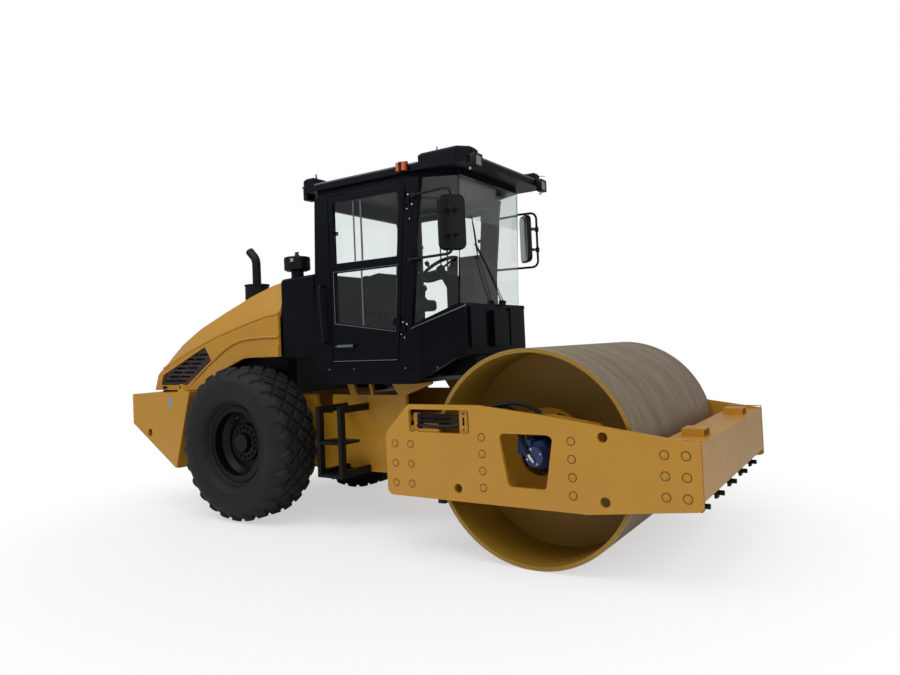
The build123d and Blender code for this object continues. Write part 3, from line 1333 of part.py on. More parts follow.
def ladders():
    """Access steps at both sides, ahead of the tyres."""

    def ladder(side):
        steps = Part()
        for x in (LADDER_X[0], LADDER_X[1] - LADDER_POST):
            steps += block((x, x + LADDER_POST), span(LADDER_OUT - 60, LADDER_OUT, side), LADDER_Z)
            for z in (LADDER_Z[0], LADDER_Z[1] - 60):
                steps += block((x, x + LADDER_POST), span(CHASSIS_Y, LADDER_OUT, side), (z, z + 60))
        for z, depth in ((LADDER_Z[0], CHASSIS_Y), (LADDER_MID_Z, CHASSIS_Y + 150)):
            steps += block(LADDER_X, span(depth, LADDER_OUT, side), (z, z + 25))
        return steps

    return both_sides(ladder)


MIRROR_X = CAB_X + 1570
MIRROR_Y = 790.0
MIRROR_Z = (2300.0, 2830.0)  # lower and upper tube
MIRROR_HEAD = (225.0, 450.0, 45.0)  # width, height, depth
MIRROR_BACK = 65.0  # from the tube to a head's middle, rearwards
MIRROR_IN = 110.0  # from the tube to a head's middle, inwards
MIRROR_TOE = 45.0  # degrees


def mirrors():
    """Side mirrors turned in towards the seat, on tube loops from the front pillars."""
    width, height, depth = MIRROR_HEAD
    low, high = MIRROR_Z
    middle = (low + high) / 2
    head_x, head_y = MIRROR_X - MIRROR_BACK, MIRROR_Y - MIRROR_IN

    def mirror_set(side):
        route = (
            (CAB_X + 1150, side * (CAB_Y + 12), high),
            (MIRROR_X, side * MIRROR_Y, high),
            (MIRROR_X, side * MIRROR_Y, low),
            (CAB_X + 1120, side * (CAB_Y + 12), low),
        )
        arm = pipe(route, [60, 60], 22)
        for z in (high, low):
            foot = leaning(PILLAR_FRONT, z) - 60
            arm += block((foot, foot + 40), span(CAB_Y, CAB_Y + 22, side), (z - 20, z + 20))
        head = Box(depth, width, height)
        head = fillet(head.edges().filter_by(Axis.X), 55)
        head = chamfer(head.faces().sort_by(Axis.X)[-1].edges(), 12)
        head = Pos(head_x, side * head_y, middle) * Rot(0, 0, side * MIRROR_TOE) * head
        for z in (middle - 100, middle + 100):
            arm += block((head_x, MIRROR_X + 8), span(head_y, MIRROR_Y + 8, side), (z - 6, z + 6))
        return arm + head

    return both_sides(mirror_set)


def grab_rails():
    """Grab rails behind the doors."""
    x = CAB_X + 120

    def rail(side):
        y, wall = side * (CAB_Y + 45), side * CAB_Y
        route = ((x, wall, 2160), (x, y, 2160), (x + 25, y, 1640), (x + 25, wall, 1640))
        return pipe(route, [25, 25], 25)

    return both_sides(rail)


# ---------------------------------------------------------------- hoses on the drum frame
HOSE_Y = DRUM_WIDTH / 2 + DRUM_TO_PLATE / 2  # in the gap between the drum and a side plate
HOSES = (  # height at the rear beam, x of the port
    (1045.0, DRUM_X - 105),
    (1010.0, DRUM_X - 60),
)


def front_hoses():
    """Hoses of the drum motors, from the rear beam to each motor."""
    hoses = []
    for side in SIDES:
        for start_z, port_x in HOSES:
            port_y = HUB_Y + MOTOR_LENGTH - 55
            port_z = DRUM_R + PORT_HEIGHT
            route = (
                (BEARING_X[1], side * HOSE_Y, start_z),
                (BEARING_X[1] + 330, side * HOSE_Y, start_z),
                (DRUM_X - 330, side * (HOSE_Y - 55), start_z + 65),
                (port_x - 80, side * (port_y + 10), start_z + 75),
                (port_x, side * port_y, port_z + 130),
                (port_x, side * port_y, port_z),
            )
            hoses.append(pipe(route, bend_radii(route), HOSE_D))
    return gather(*hoses)


# ---------------------------------------------------------------- all nodes
NODES = {
    "drum_shell": drum_shell,
    "side_plates": side_plates,
    "front_beam": front_beam,
    "rear_beam": rear_beam,
    "scrapers": scrapers,
    "drum_carriers": drum_carriers,
    "drum_hubs": drum_hubs,
    "drum_buffers": drum_buffers,
    "drum_motors": drum_motors,
    "front_hoses": front_hoses,
    "centre_yoke": centre_yoke,
    "rear_frame": rear_frame,
    "rear_axle": rear_axle,
    "ballast": ballast,
    "engine": engine,
    "tail_lamps": tail_lamps,
    "hood": hood,
    "hood_grilles": hood_grilles,
    "exhaust": exhaust,
    "cowl": cowl,
    "precleaner": precleaner,
    "cab_floor": cab_floor,
    "cab_frame": cab_frame,
    "cab_nose": cab_nose,
    "cab_roof": cab_roof,
    "roof_lamps": roof_lamps,
    "indicators": indicators,
    "windows": windows,
    "console": console,
    "steering_wheel": steering_wheel,
    "seat": seat,
    "cab_mounts": cab_mounts,
    "ladders": ladders,
    "mirrors": mirrors,
    "grab_rails": grab_rails,
}
SIDE_NODES = {
    "steering_cylinder": steering_cylinder,
    "steering_rod": steering_rod,
    "tyre": tyre,
    "rim": rim,
    "door": door,
    "door_glass": door_glass,
}

os.makedirs("parts", exist_ok=True)
for node, make in NODES.items():
    export_step(make(), f"parts/{node}.step")
for node, make in SIDE_NODES.items():
    for side, name in zip(SIDES, ("right", "left")):
        export_step(make(side), f"parts/{node}_{name}.step")
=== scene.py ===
"""Looks of a single-drum soil compactor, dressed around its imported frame.

Metres. +X is forward towards the drum, +Y the machine's left and +Z up. The rigid pieces come
from the frame; this script adds their finishes and the small parts that ride on them.
"""

import json
import logging
import math
from dataclasses import dataclass
from enum import Enum
from typing import Any, Callable, Iterable, Mapping, Sequence

import bmesh
import bpy
from mathutils import Matrix, Vector

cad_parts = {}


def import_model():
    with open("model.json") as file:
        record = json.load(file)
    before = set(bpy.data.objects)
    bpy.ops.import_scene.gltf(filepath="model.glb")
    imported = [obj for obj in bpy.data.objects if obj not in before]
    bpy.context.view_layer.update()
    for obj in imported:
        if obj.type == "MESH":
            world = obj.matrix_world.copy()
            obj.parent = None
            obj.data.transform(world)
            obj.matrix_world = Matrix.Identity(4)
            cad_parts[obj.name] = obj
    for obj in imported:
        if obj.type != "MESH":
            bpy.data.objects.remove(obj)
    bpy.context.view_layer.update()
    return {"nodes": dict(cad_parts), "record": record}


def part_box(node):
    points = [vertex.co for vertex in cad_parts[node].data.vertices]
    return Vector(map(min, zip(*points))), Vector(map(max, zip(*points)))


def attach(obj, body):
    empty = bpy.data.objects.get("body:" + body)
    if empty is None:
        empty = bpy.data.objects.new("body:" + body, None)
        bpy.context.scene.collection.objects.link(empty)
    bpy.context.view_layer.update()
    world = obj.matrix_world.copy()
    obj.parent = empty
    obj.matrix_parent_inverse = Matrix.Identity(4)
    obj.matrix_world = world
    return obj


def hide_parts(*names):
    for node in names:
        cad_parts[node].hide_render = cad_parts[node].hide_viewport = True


LOG = logging.getLogger("compactor")
MM = 0.001
X, Y, Z = range(3)
ALONG = 0.9  # cosine from which an edge or a normal counts as pointing a way
ROOT, FRAME, HOOD = "tractor", "drum_frame", "hood_lid"  # bodies that carry most of the pieces
Pair = tuple[float, float]
Point = tuple[float, float, float]
Colour = tuple[float, float, float, float]


# ---------------------------------------------------------------- colour and shader nodes
def linear(code: str) -> Colour:
    """Turn an sRGB hex colour into linear light.

    Args:
        code: Six hex digits.

    Returns:
        Linear red, green, blue and an alpha of 1.
    """
    parts = [int(code[i : i + 2], 16) / 255 for i in (0, 2, 4)]
    red, green, blue = (p / 12.92 if p <= 0.04045 else ((p + 0.055) / 1.055) ** 2.4 for p in parts)
    return red, green, blue, 1.0


def add_node(
    tree: bpy.types.NodeTree,
    kind: str,
    settings: Mapping[Any, Any] | None = None,
    links: Mapping[Any, Any] | None = None,
) -> bpy.types.Node:
    """Add a shader node with its settings and incoming links.

    Args:
        tree: Node tree of the material.
        kind: Blender's name of the node type.
        settings: Socket name or number to value, or attribute name with a leading dot to value.
        links: Socket name or number to the output that feeds it.

    Returns:
        The new node.
    """
    node = tree.nodes.new(kind)
    for key, value in (settings or {}).items():
        if isinstance(key, str) and key.startswith("."):
            setattr(node, key[1:], value)
        else:
            node.inputs[key].default_value = value
    for key, output in (links or {}).items():
        tree.links.new(output, node.inputs[key])
    return node


def blank_material(name: str) -> tuple[bpy.types.Material, bpy.types.NodeTree]:
    """Start a node material with an empty tree.

    Args:
        name: Name of the material.

    Returns:
        The material and its tree.
    """
    made = bpy.data.materials.new(name)
    made.use_nodes = True
    made.node_tree.nodes.clear()
    return made, made.node_tree


@dataclass(frozen=True)
class Coating:
    """A paint, rubber or plastic with a worn, slightly uneven surface.

    Attributes:
        slot: The record's material slot, which also names the finish.
        colour: Main colour, sRGB hex.
        shade: Colour of its darker or dusty patches, sRGB hex.
        patch_mm: Size of those patches.
        patchiness: Share of the darker colour at its strongest.
        roughness: Shader roughness.
        grain_mm: Size of the surface grain.
        grain: Height of the grain in millimetres.
        coat: Clear coat weight.
        metallic: Shader metallic.
        specular: Shader specular level; dull black coats mirror less than fresh gloss.
    """

    slot: str
    colour: str
    shade: str
    patch_mm: float = 400.0
    patchiness: float = 0.35
    roughness: float = 0.4
    grain_mm: float = 6.0
    grain: float = 0.05
    coat: float = 0.0
    metallic: float = 0.0
    specular: float = 0.5

    def material(self) -> bpy.types.Material:
        """Build the node material of this coating.

        Returns:
            The material, named after its slot.
        """
        made, tree = blank_material(self.slot)
        place = add_node(tree, "ShaderNodeTexCoord").outputs["Object"]
        patches = add_node(
            tree,
            "ShaderNodeTexNoise",
            {"Scale": 1 / (self.patch_mm * MM), "Detail": 5.0, "Roughness": 0.6},
            {"Vector": place},
        )
        share = add_node(
            tree,
            "ShaderNodeMapRange",
            {"From Min": 0.42, "From Max": 0.72, "To Min": 0.0, "To Max": self.patchiness},
            {"Value": patches.outputs["Fac"]},
        )
        mixed = add_node(
            tree,
            "ShaderNodeMix",
            {".data_type": "RGBA", 6: linear(self.colour), 7: linear(self.shade)},
            {0: share.outputs["Result"]},
        )
        grain = add_node(
            tree,
            "ShaderNodeTexNoise",
            {"Scale": 1 / (self.grain_mm * MM), "Detail": 2.0},
            {"Vector": place},
        )
        bump = add_node(
            tree,
            "ShaderNodeBump",
            {"Strength": 0.5, "Distance": self.grain * MM},
            {"Height": grain.outputs["Fac"]},
        )
        gloss = add_node(
            tree,
            "ShaderNodeMapRange",
            {"To Min": max(self.roughness - 0.06, 0.02), "To Max": min(self.roughness + 0.1, 1.0)},
            {"Value": patches.outputs["Fac"]},
        )
        shader = add_node(
            tree,
            "ShaderNodeBsdfPrincipled",
            {
                "Metallic": self.metallic,
                "Coat Weight": self.coat,
                "Coat Roughness": 0.12,
                "Specular IOR Level": self.specular,
            },
            {
                "Base Color": mixed.outputs[2],
                "Roughness": gloss.outputs["Result"],
                "Normal": bump.outputs["Normal"],
            },
        )
        add_node(tree, "ShaderNodeOutputMaterial", {}, {"Surface": shader.outputs["BSDF"]})
        return made


@dataclass(frozen=True)
class RolledSteel:
    """Bare drum steel polished by rolling, with rust bands, and paint inside the drum, darkened as painted
    shade.

    Attributes:
        slot: Material slot of the record.
        paint: Enamel colour inside the drum and on its ends, darker than the body's yellow: painted shade of
            the drum's inside.
        steel: Colour of the worn steel.
        rust: Colour of the rust film.
        axle: Drum axle in the frame.
        inner_radius: Radius within which the drum is painted.
        bands: Rust bands in a metre, before they are drawn out.
        drawn: Shares of that number along X, Y and Z.
        specks: Pits and rust specks in a metre, coarser than the real ones so that they show.
        pit_mm: Depth of the pits.
        rust_from: Noise level at which rust begins, and at which it is at its strongest.
        rust_most: Share of rust at its strongest.
        bare: Metallic value of the worn steel, dulled by its film of dirt.
        roughness: Lowest and highest roughness.
    """

    slot: str
    paint: str
    steel: str
    rust: str
    axle: Point
    inner_radius: float
    bands: float = 2.4
    drawn: Point = (0.5, 2.2, 0.5)
    specks: float = 26.0
    pit_mm: float = 0.6
    rust_from: Pair = (0.55, 0.92)
    rust_most: float = 0.85
    bare: float = 0.75
    roughness: Pair = (0.42, 0.62)

    def material(self) -> bpy.types.Material:
        """Build the node material, switched between steel and paint by the distance from the axle.

        Returns:
            The material, named after its slot.
        """
        made, tree = blank_material(self.slot)
        place = add_node(tree, "ShaderNodeTexCoord").outputs["Object"]
        centred = add_node(
            tree,
            "ShaderNodeVectorMath",
            {".operation": "SUBTRACT", 1: (self.axle[0], 0.0, self.axle[2])},
            {0: place},
        )
        flat = {".operation": "MULTIPLY", 1: (1.0, 0.0, 1.0)}
        across = add_node(tree, "ShaderNodeVectorMath", flat, {0: centred.outputs[0]})
        radius = add_node(tree, "ShaderNodeVectorMath", {".operation": "LENGTH"}, {0: across.outputs[0]})
        outside = add_node(
            tree,
            "ShaderNodeMapRange",
            {"From Min": self.inner_radius, "From Max": self.inner_radius + 0.5 * MM},
            {"Value": radius.outputs["Value"]},
        )
        # Rolling leaves bands round the drum: the noise is drawn out along the turn and narrow along Y.
        middle = {"Vector": centred.outputs[0]}
        drawn = add_node(tree, "ShaderNodeMapping", {"Scale": self.drawn}, middle)
        broad = {"Scale": self.bands, "Detail": 8.0, "Roughness": 0.68}
        fine = {"Scale": self.specks, "Detail": 6.0, "Roughness": 0.7}
        bands = add_node(tree, "ShaderNodeTexNoise", broad, {"Vector": drawn.outputs[0]})
        specks = add_node(tree, "ShaderNodeTexNoise", fine, middle)
        rusty = add_node(
            tree,
            "ShaderNodeMath",
            {".operation": "MULTIPLY_ADD", 1: 0.35},
            {0: specks.outputs["Fac"], 2: bands.outputs["Fac"]},
        )
        share = add_node(
            tree,
            "ShaderNodeMapRange",
            {"From Min": self.rust_from[0], "From Max": self.rust_from[1], "To Max": self.rust_most},
            {"Value": rusty.outputs[0]},
        )
        metal = add_node(
            tree,
            "ShaderNodeMix",
            {".data_type": "RGBA", 6: linear(self.steel), 7: linear(self.rust)},
            {0: share.outputs["Result"]},
        )
        # Within the painting radius the colour is the darker enamel, which is painted shade of the drum's
        # inside.
        colour = add_node(
            tree,
            "ShaderNodeMix",
            {".data_type": "RGBA", 6: linear(self.paint)},
            {0: outside.outputs["Result"], 7: metal.outputs[2]},
        )
        metallic = add_node(
            tree,
            "ShaderNodeMath",
            {".operation": "MULTIPLY", 1: self.bare},
            {0: outside.outputs["Result"]},
        )
        ends = {"To Min": self.roughness[0], "To Max": self.roughness[1]}
        rough = add_node(tree, "ShaderNodeMapRange", ends, {"Value": specks.outputs["Fac"]})
        pits = {"Strength": 0.35, "Distance": self.pit_mm * MM}
        bump = add_node(tree, "ShaderNodeBump", pits, {"Height": specks.outputs["Fac"]})
        shader = add_node(
            tree,
            "ShaderNodeBsdfPrincipled",
            {},
            {
                "Base Color": colour.outputs[2],
                "Metallic": metallic.outputs[0],
                "Roughness": rough.outputs["Result"],
                "Normal": bump.outputs["Normal"],
            },
        )
        add_node(tree, "ShaderNodeOutputMaterial", {}, {"Surface": shader.outputs["BSDF"]})
        return made


@dataclass(frozen=True)
class ClearGlass:
    """Float glass or a clear lens, seen through with a light tint.

    Attributes:
        slot: Material slot of the record.
        tint: Colour of the light that passes, sRGB hex.
        transmission: Share of the light that passes.
        roughness: Shader roughness.
    """

    slot: str
    tint: str
    transmission: float
    roughness: float = 0.0

    def material(self) -> bpy.types.Material:
        """Build the glass: soda-lime glass bends light little and mirrors the room at a slant.

        Returns:
            The material, named after its slot.
        """
        made, tree = blank_material(self.slot)
        shader = add_node(
            tree,
            "ShaderNodeBsdfPrincipled",
            {
                "Base Color": linear(self.tint),
                "Roughness": self.roughness,
                "IOR": 1.45,
                "Transmission Weight": self.transmission,
            },
        )
        add_node(tree, "ShaderNodeOutputMaterial", {}, {"Surface": shader.outputs["BSDF"]})
        return made


@dataclass(frozen=True)
class PerforatedSheet:
    """Black sheet steel punched with round holes, through which reddish dust shows.

    Attributes:
        slot: Material slot of the record.
        sheet: Colour of the paint.
        behind: Colour seen in the holes.
        pitch_mm: Spacing of the holes, drawn coarser than the real 6 mm so that it shows.
        dust_mm: Size of the patches of dust behind the sheet.
    """

    slot: str
    sheet: str
    behind: str
    pitch_mm: float = 14.0
    dust_mm: float = 250.0

    def material(self) -> bpy.types.Material:
        """Build the sheet with its holes as a colour and bump pattern.

        Returns:
            The material, named after its slot.
        """
        made, tree = blank_material(self.slot)
        place = add_node(tree, "ShaderNodeTexCoord").outputs["Object"]
        per_metre = 1 / (self.pitch_mm * MM)
        stretch = {".operation": "MULTIPLY", 1: (per_metre, 0.0, per_metre)}
        scaled = add_node(tree, "ShaderNodeVectorMath", stretch, {0: place})
        cell = add_node(tree, "ShaderNodeVectorMath", {".operation": "FRACTION"}, {0: scaled.outputs[0]})
        middle = add_node(
            tree, "ShaderNodeVectorMath", {".operation": "DISTANCE", 1: (0.5, 0.0, 0.5)}, {0: cell.outputs[0]}
        )
        edge = {"From Min": 0.34, "From Max": 0.28}
        hole = add_node(tree, "ShaderNodeMapRange", edge, {"Value": middle.outputs["Value"]})
        dust = {"Scale": 1 / (self.dust_mm * MM), "Detail": 3.0}
        dusty = add_node(tree, "ShaderNodeTexNoise", dust, {"Vector": place})
        patch = add_node(
            tree,
            "ShaderNodeMapRange",
            {"From Min": 0.45, "From Max": 0.6, "To Max": 0.8},
            {"Value": dusty.outputs["Fac"]},
        )
        seen = add_node(
            tree,
            "ShaderNodeMath",
            {".operation": "MULTIPLY"},
            {0: hole.outputs["Result"], 1: patch.outputs["Result"]},
        )
        colour = add_node(
            tree,
            "ShaderNodeMix",
            {".data_type": "RGBA", 6: linear(self.sheet), 7: linear(self.behind)},
            {0: seen.outputs[0]},
        )
        bump = add_node(
            tree,
            "ShaderNodeBump",
            {"Strength": 0.6, "Distance": 1.5 * MM, ".invert": True},
            {"Height": hole.outputs["Result"]},
        )
        shader = add_node(
            tree,
            "ShaderNodeBsdfPrincipled",
            {"Roughness": 0.5},
            {"Base Color": colour.outputs[2], "Normal": bump.outputs["Normal"]},
        )
        add_node(tree, "ShaderNodeOutputMaterial", {}, {"Surface": shader.outputs["BSDF"]})
        return made


class Finish(Enum):
    """The finishes of the machine, by the record's material slots."""

    ENAMEL = "yellow_paint"
    CAB_ENAMEL = "cab_paint"
    BLACK_STEEL = "black_steel"
    DRUM = "drum_steel"
    RIM = "rim_paint"
    TYRE = "tyre_rubber"
    BUFFER = "buffer_rubber"
    HOSE = "hose_rubber"
    MOTOR = "motor_paint"
    ENGINE = "engine_iron"
    MESH = "black_mesh"
    PLASTIC = "black_plastic"
    LAMP = "lamp_glass"
    AMBER = "amber_plastic"
    RED = "red_plastic"
    GLASS = "cab_glass"
    FABRIC = "seat_fabric"
    CHROME = "rod_chrome"
    TRIM = "cab_trim"


class Paintshop:
    """Makes each finish once and puts it on pieces and CAD nodes."""

    def __init__(self, drum_axle: Point, drum_inner_radius: float) -> None:
        """Build every finish.

        Args:
            drum_axle: A point on the drum's axle.
            drum_inner_radius: Radius up to which the drum is painted.
        """
        yellow, worn_yellow = "C18C25", "A97722"
        recipes = (
            # Two-pack enamel sprayed on plate: an even, softly glossy coat with a little road dust.
            Coating(Finish.ENAMEL.value, yellow, worn_yellow, 700, 0.3, 0.36, 9, 0.06, coat=0.15),
            # Powder-coated cab panels: dark blue-black with broad, dull reflections.
            Coating(Finish.CAB_ENAMEL.value, "070B11", "0E141C", 500, 0.4, 0.34, 4, 0.05, specular=0.1),
            # Chassis black on steel bars: scuffed and slightly grey on its edges.
            Coating(Finish.BLACK_STEEL.value, "0A0B0C", "17181A", 150, 0.5, 0.45, 5, 0.1, specular=0.22),
            # Baked enamel on the rims: deep black, a little glossier than the rubber round it.
            Coating(Finish.RIM.value, "060708", "0F1011", 200, 0.4, 0.38, 5, 0.06, specular=0.22),
            # Natural rubber with carbon black: dull, with grey dust in patches.
            Coating(Finish.TYRE.value, "131415", "232322", 160, 0.5, 0.66, 3, 0.25, specular=0.35),
            # Moulded rubber blocks: matt charcoal.
            Coating(Finish.BUFFER.value, "161616", "272726", 60, 0.4, 0.7, 3, 0.2, specular=0.3),
            # Extruded hose cover: dark, with a faint sheen along its length.
            Coating(Finish.HOSE.value, "151517", "2C2C2D", 40, 0.4, 0.55, 2, 0.15, specular=0.35),
            # Painted aluminium and iron castings keep the sand's grain under the paint.
            Coating(Finish.MOTOR.value, "24407F", "1B2F5F", 60, 0.5, 0.4, 3, 0.3, coat=0.2),
            Coating(Finish.ENGINE.value, "3A3D40", "4A4440", 120, 0.5, 0.6, 3, 0.4),
            # Injection-moulded polypropylene: near black with an even fine grain.
            Coating(Finish.PLASTIC.value, "0B0C0E", "15171A", 120, 0.3, 0.45, 1.5, 0.12, specular=0.22),
            # Injection-moulded acrylic lenses: clear colour under a glossy skin.
            Coating(Finish.AMBER.value, "D2601C", "B8501A", 30, 0.3, 0.25, 4, 0.2, coat=0.4),
            Coating(Finish.RED.value, "8E1512", "7A1210", 30, 0.3, 0.25, 4, 0.2, coat=0.4),
            # Woven polyester on foam: soft and matt.
            Coating(Finish.FABRIC.value, "17181B", "222327", 80, 0.4, 0.9, 2, 0.4, specular=0.2),
            # Hard chrome and zinc plate, ground smooth: the brightest points of the machine.
            Coating(Finish.CHROME.value, "D8D9DC", "C4C5C8", 60, 0.2, 0.16, 2, 0.02, metallic=1.0),
            # Anodised roof rail and glass channels: a soft blue-grey line along the black cab.
            Coating(Finish.TRIM.value, "5B6068", "474B52", 90, 0.4, 0.5, 3, 0.05),
            # Punched sheet: from afar a dark grey with reddish dust in the holes.
            PerforatedSheet(Finish.MESH.value, "17181A", "7A3A30"),
            # Toughened float glass: nearly colourless, slightly green.
            ClearGlass(Finish.GLASS.value, "F5F9F8", 1.0),
            # Pressed lamp glass over a reflector: pale grey.
            ClearGlass(Finish.LAMP.value, "A9ADB0", 0.35, 0.12),
            # Rolled and worn steel outside; inside and on the ends, sprayed enamel darkened as painted shade
            # of the drum's inside.
            RolledSteel(Finish.DRUM.value, "9A7622", "B0A490", "8F7350", drum_axle, drum_inner_radius),
        )
        self.materials = {recipe.slot: recipe.material() for recipe in recipes}

    def dress(self, piece: bpy.types.Object, finish: Finish) -> None:
        """Give a piece made here its finish and its slot.

        Args:
            piece: The piece.
            finish: Its finish.
        """
        piece.data.materials.clear()
        piece.data.materials.append(self.materials[finish.value])

    def dress_frame(self, nodes: Mapping[str, bpy.types.Object], record: Mapping[str, Any]) -> None:
        """Give every CAD node the finish that the record names for it.

        Args:
            nodes: CAD objects by node name.
            record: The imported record.
        """
        for part in record["subparts"]:
            piece = nodes[part["node"]]
            piece.data.materials.clear()
            piece.data.materials.append(self.materials[part["material_slot"]])
        LOG.info("dressed %d frame nodes", len(record["subparts"]))


# ---------------------------------------------------------------- modelling
class Blank:
    """A piece under the tools: it starts as a primitive and is shaped in edit mode."""

    def __init__(self, name: str, add: Callable[..., Any], **how: Any) -> None:
        """Add the primitive.

        Args:
            name: Name of the piece.
            add: Operator that adds the primitive.
            **how: Settings of that operator.
        """
        Blank.leave()
        add(**how)
        self.piece = bpy.context.active_object
        self.piece.name = name
        bpy.ops.object.transform_apply(location=True, rotation=True, scale=True)

    @staticmethod
    def leave() -> None:
        """Go back to object mode with nothing selected."""
        if bpy.context.mode != "OBJECT":
            bpy.ops.object.mode_set(mode="OBJECT")
        bpy.ops.object.select_all(action="DESELECT")

    @classmethod
    def box(cls, name: str, low: Sequence[float], high: Sequence[float]) -> "Blank":
        """Start from a cuboid between two corners.

        Args:
            name: Name of the piece.
            low: One corner.
            high: The opposite corner.

        Returns:
            The cuboid.
        """
        low, high = Vector(low), Vector(high)
        sizes = [abs(step) for step in high - low]
        return cls(name, bpy.ops.mesh.primitive_cube_add, size=1.0, location=(low + high) / 2, scale=sizes)

    @classmethod
    def rod(
        cls, name: str, start: Sequence[float], end: Sequence[float], radius: float, sides: int = 24
    ) -> "Blank":
        """Start from a round bar between two points.

        Args:
            name: Name of the piece.
            start: Middle of the first end.
            end: Middle of the second end.
            radius: Radius of the bar.
            sides: Number of flats round it.

        Returns:
            The bar.
        """
        start, end = Vector(start), Vector(end)
        turned = (end - start).to_track_quat("Z", "Y").to_euler()
        return cls(
            name,
            bpy.ops.mesh.primitive_cylinder_add,
            vertices=sides,
            radius=radius,
            depth=(end - start).length,
            location=(start + end) / 2,
            rotation=turned,
        )

    @classmethod
    def line(cls, name: str, points: Sequence[Sequence[float]], closed: bool = False) -> "Blank":
        """Draw a line through points by extruding one vertex.

        Args:
            name: Name of the piece.
            points: Places along the line.
            closed: Whether the line is filled with a face.

        Returns:
            The line or the face.
        """
        blank = cls(name, bpy.ops.mesh.primitive_plane_add, size=2 * MM, location=points[0])
        blank.pick("VERT").then(bpy.ops.mesh.merge, type="CENTER")
        for before, after in zip(points, points[1:]):
            step = Vector(after) - Vector(before)
            bpy.ops.mesh.extrude_region_move(TRANSFORM_OT_translate={"value": step})
        if closed:
            blank.pick("VERT").then(bpy.ops.mesh.edge_face_add)
        return blank

    @classmethod
    def plate(cls, name: str, outline: Sequence[Sequence[float]], thickness: Sequence[float]) -> "Blank":
        """Cut a plate: an outline drawn out by a vector.

        Args:
            name: Name of the piece.
            outline: Corners of the plate, without the first one repeated.
            thickness: Way and distance of the extrusion.

        Returns:
            The plate.
        """
        blank = cls.line(name, outline, closed=True)
        bpy.ops.mesh.extrude_region_move(TRANSFORM_OT_translate={"value": Vector(thickness)})
        return blank.pick("FACE").then(bpy.ops.mesh.normals_make_consistent, inside=False)

    @classmethod
    def turned(
        cls,
        name: str,
        profile: Sequence[Sequence[float]],
        centre: Sequence[float] = (0.0, 0.0, 0.0),
        axis: Sequence[float] = (0.0, 0.0, 1.0),
        steps: int = 28,
    ) -> "Blank":
        """Turn a profile line about an axis into a body.

        Args:
            name: Name of the piece.
            profile: Points of the profile.
            centre: A point on the axis.
            axis: Way of the axis.
            steps: Number of steps in the full turn.

        Returns:
            The turned body.
        """
        blank = cls.line(name, profile).pick("VERT")
        blank.then(bpy.ops.mesh.spin, steps=steps, angle=2 * math.pi, center=centre, axis=axis)
        blank.pick("VERT").then(bpy.ops.mesh.remove_doubles, threshold=0.01 * MM)
        return blank.pick("FACE").then(bpy.ops.mesh.normals_make_consistent, inside=False)

    def pick(self, kind: str, test: Callable[[Vector, Vector], bool] = lambda place, way: True) -> "Blank":
        """Select parts of the mesh by their place and by their normal, or an edge's direction.

        Args:
            kind: "VERT", "EDGE" or "FACE".
            test: Says whether a part at a place, pointing a way, is picked.

        Returns:
            This blank, in edit mode.
        """
        if self.piece.mode != "EDIT":
            Blank.leave()
            bpy.context.view_layer.objects.active = self.piece
            self.piece.select_set(True)
            bpy.ops.object.mode_set(mode="EDIT")
        bpy.ops.mesh.select_mode(type=kind)
        bpy.ops.mesh.select_all(action="DESELECT")
        mesh = bmesh.from_edit_mesh(self.piece.data)
        mesh.normal_update()
        for item in {"VERT": mesh.verts, "EDGE": mesh.edges, "FACE": mesh.faces}[kind]:
            if kind == "VERT":
                place, way = item.co, item.normal
            elif kind == "EDGE":
                first, last = (corner.co for corner in item.verts)
                place, way = (first + last) / 2, (last - first).normalized()
            else:
                place, way = item.calc_center_median(), item.normal
            if test(place, way):
                item.select_set(True)
        mesh.select_flush_mode()
        bmesh.update_edit_mesh(self.piece.data)
        return self

    def then(self, operate: Callable[..., Any], **how: Any) -> "Blank":
        """Run an edit-mode operator on what is picked."""
        operate(**how)
        return self

    def bevelled(self, size: float, segments: int = 1) -> "Blank":
        """Bevel what is picked."""
        return self.then(bpy.ops.mesh.bevel, offset=size, segments=segments)

    def eased(self, size: float, segments: int = 1) -> "Blank":
        """Break every edge of the piece, as a file does."""
        return self.pick("EDGE").bevelled(size, segments)

    def rounded(self, along: int, size: float, segments: int = 1) -> "Blank":
        """Round the edges that run along an axis."""
        return self.pick("EDGE", lambda place, way: abs(way[along]) > ALONG).bevelled(size, segments)

    def moved(self, step: Sequence[float]) -> "Blank":
        """Move what is picked."""
        return self.then(bpy.ops.transform.translate, value=step)

    def dished(self, out: Sequence[float], width: float, push: float) -> "Blank":
        """Step a face: inset it and push its middle out, or in.

        Args:
            out: Way in which the face looks.
            width: Width of the border that stays.
            push: Distance by which the middle moves outwards.

        Returns:
            This blank.
        """
        out = Vector(out)
        self.pick("FACE", lambda place, way: way.dot(out) > ALONG).then(bpy.ops.mesh.inset, thickness=width)
        return self.moved(out * push)

    def windowed(self, out: Sequence[float], width: float) -> "Blank":
        """Open a window in a face.

        Args:
            out: Way in which the face looks.
            width: Width of the border that stays.

        Returns:
            This blank.
        """
        out = Vector(out)
        self.pick("FACE", lambda place, way: way.dot(out) > ALONG).then(bpy.ops.mesh.inset, thickness=width)
        return self.then(bpy.ops.mesh.delete, type="FACE")

    def modify(self, kind: str, **settings: Any) -> "Blank":
        """Add a modifier with its settings and apply it.

        Args:
            kind: Blender's name of the modifier type.
            **settings: Its settings.

        Returns:
            This blank, in object mode.
        """
        Blank.leave()
        bpy.context.view_layer.objects.active = self.piece
        self.piece.select_set(True)
        added = self.piece.modifiers.new(kind.title(), kind)
        for key, value in settings.items():
            setattr(added, key, value)
        bpy.ops.object.modifier_apply(modifier=added.name)
        return self

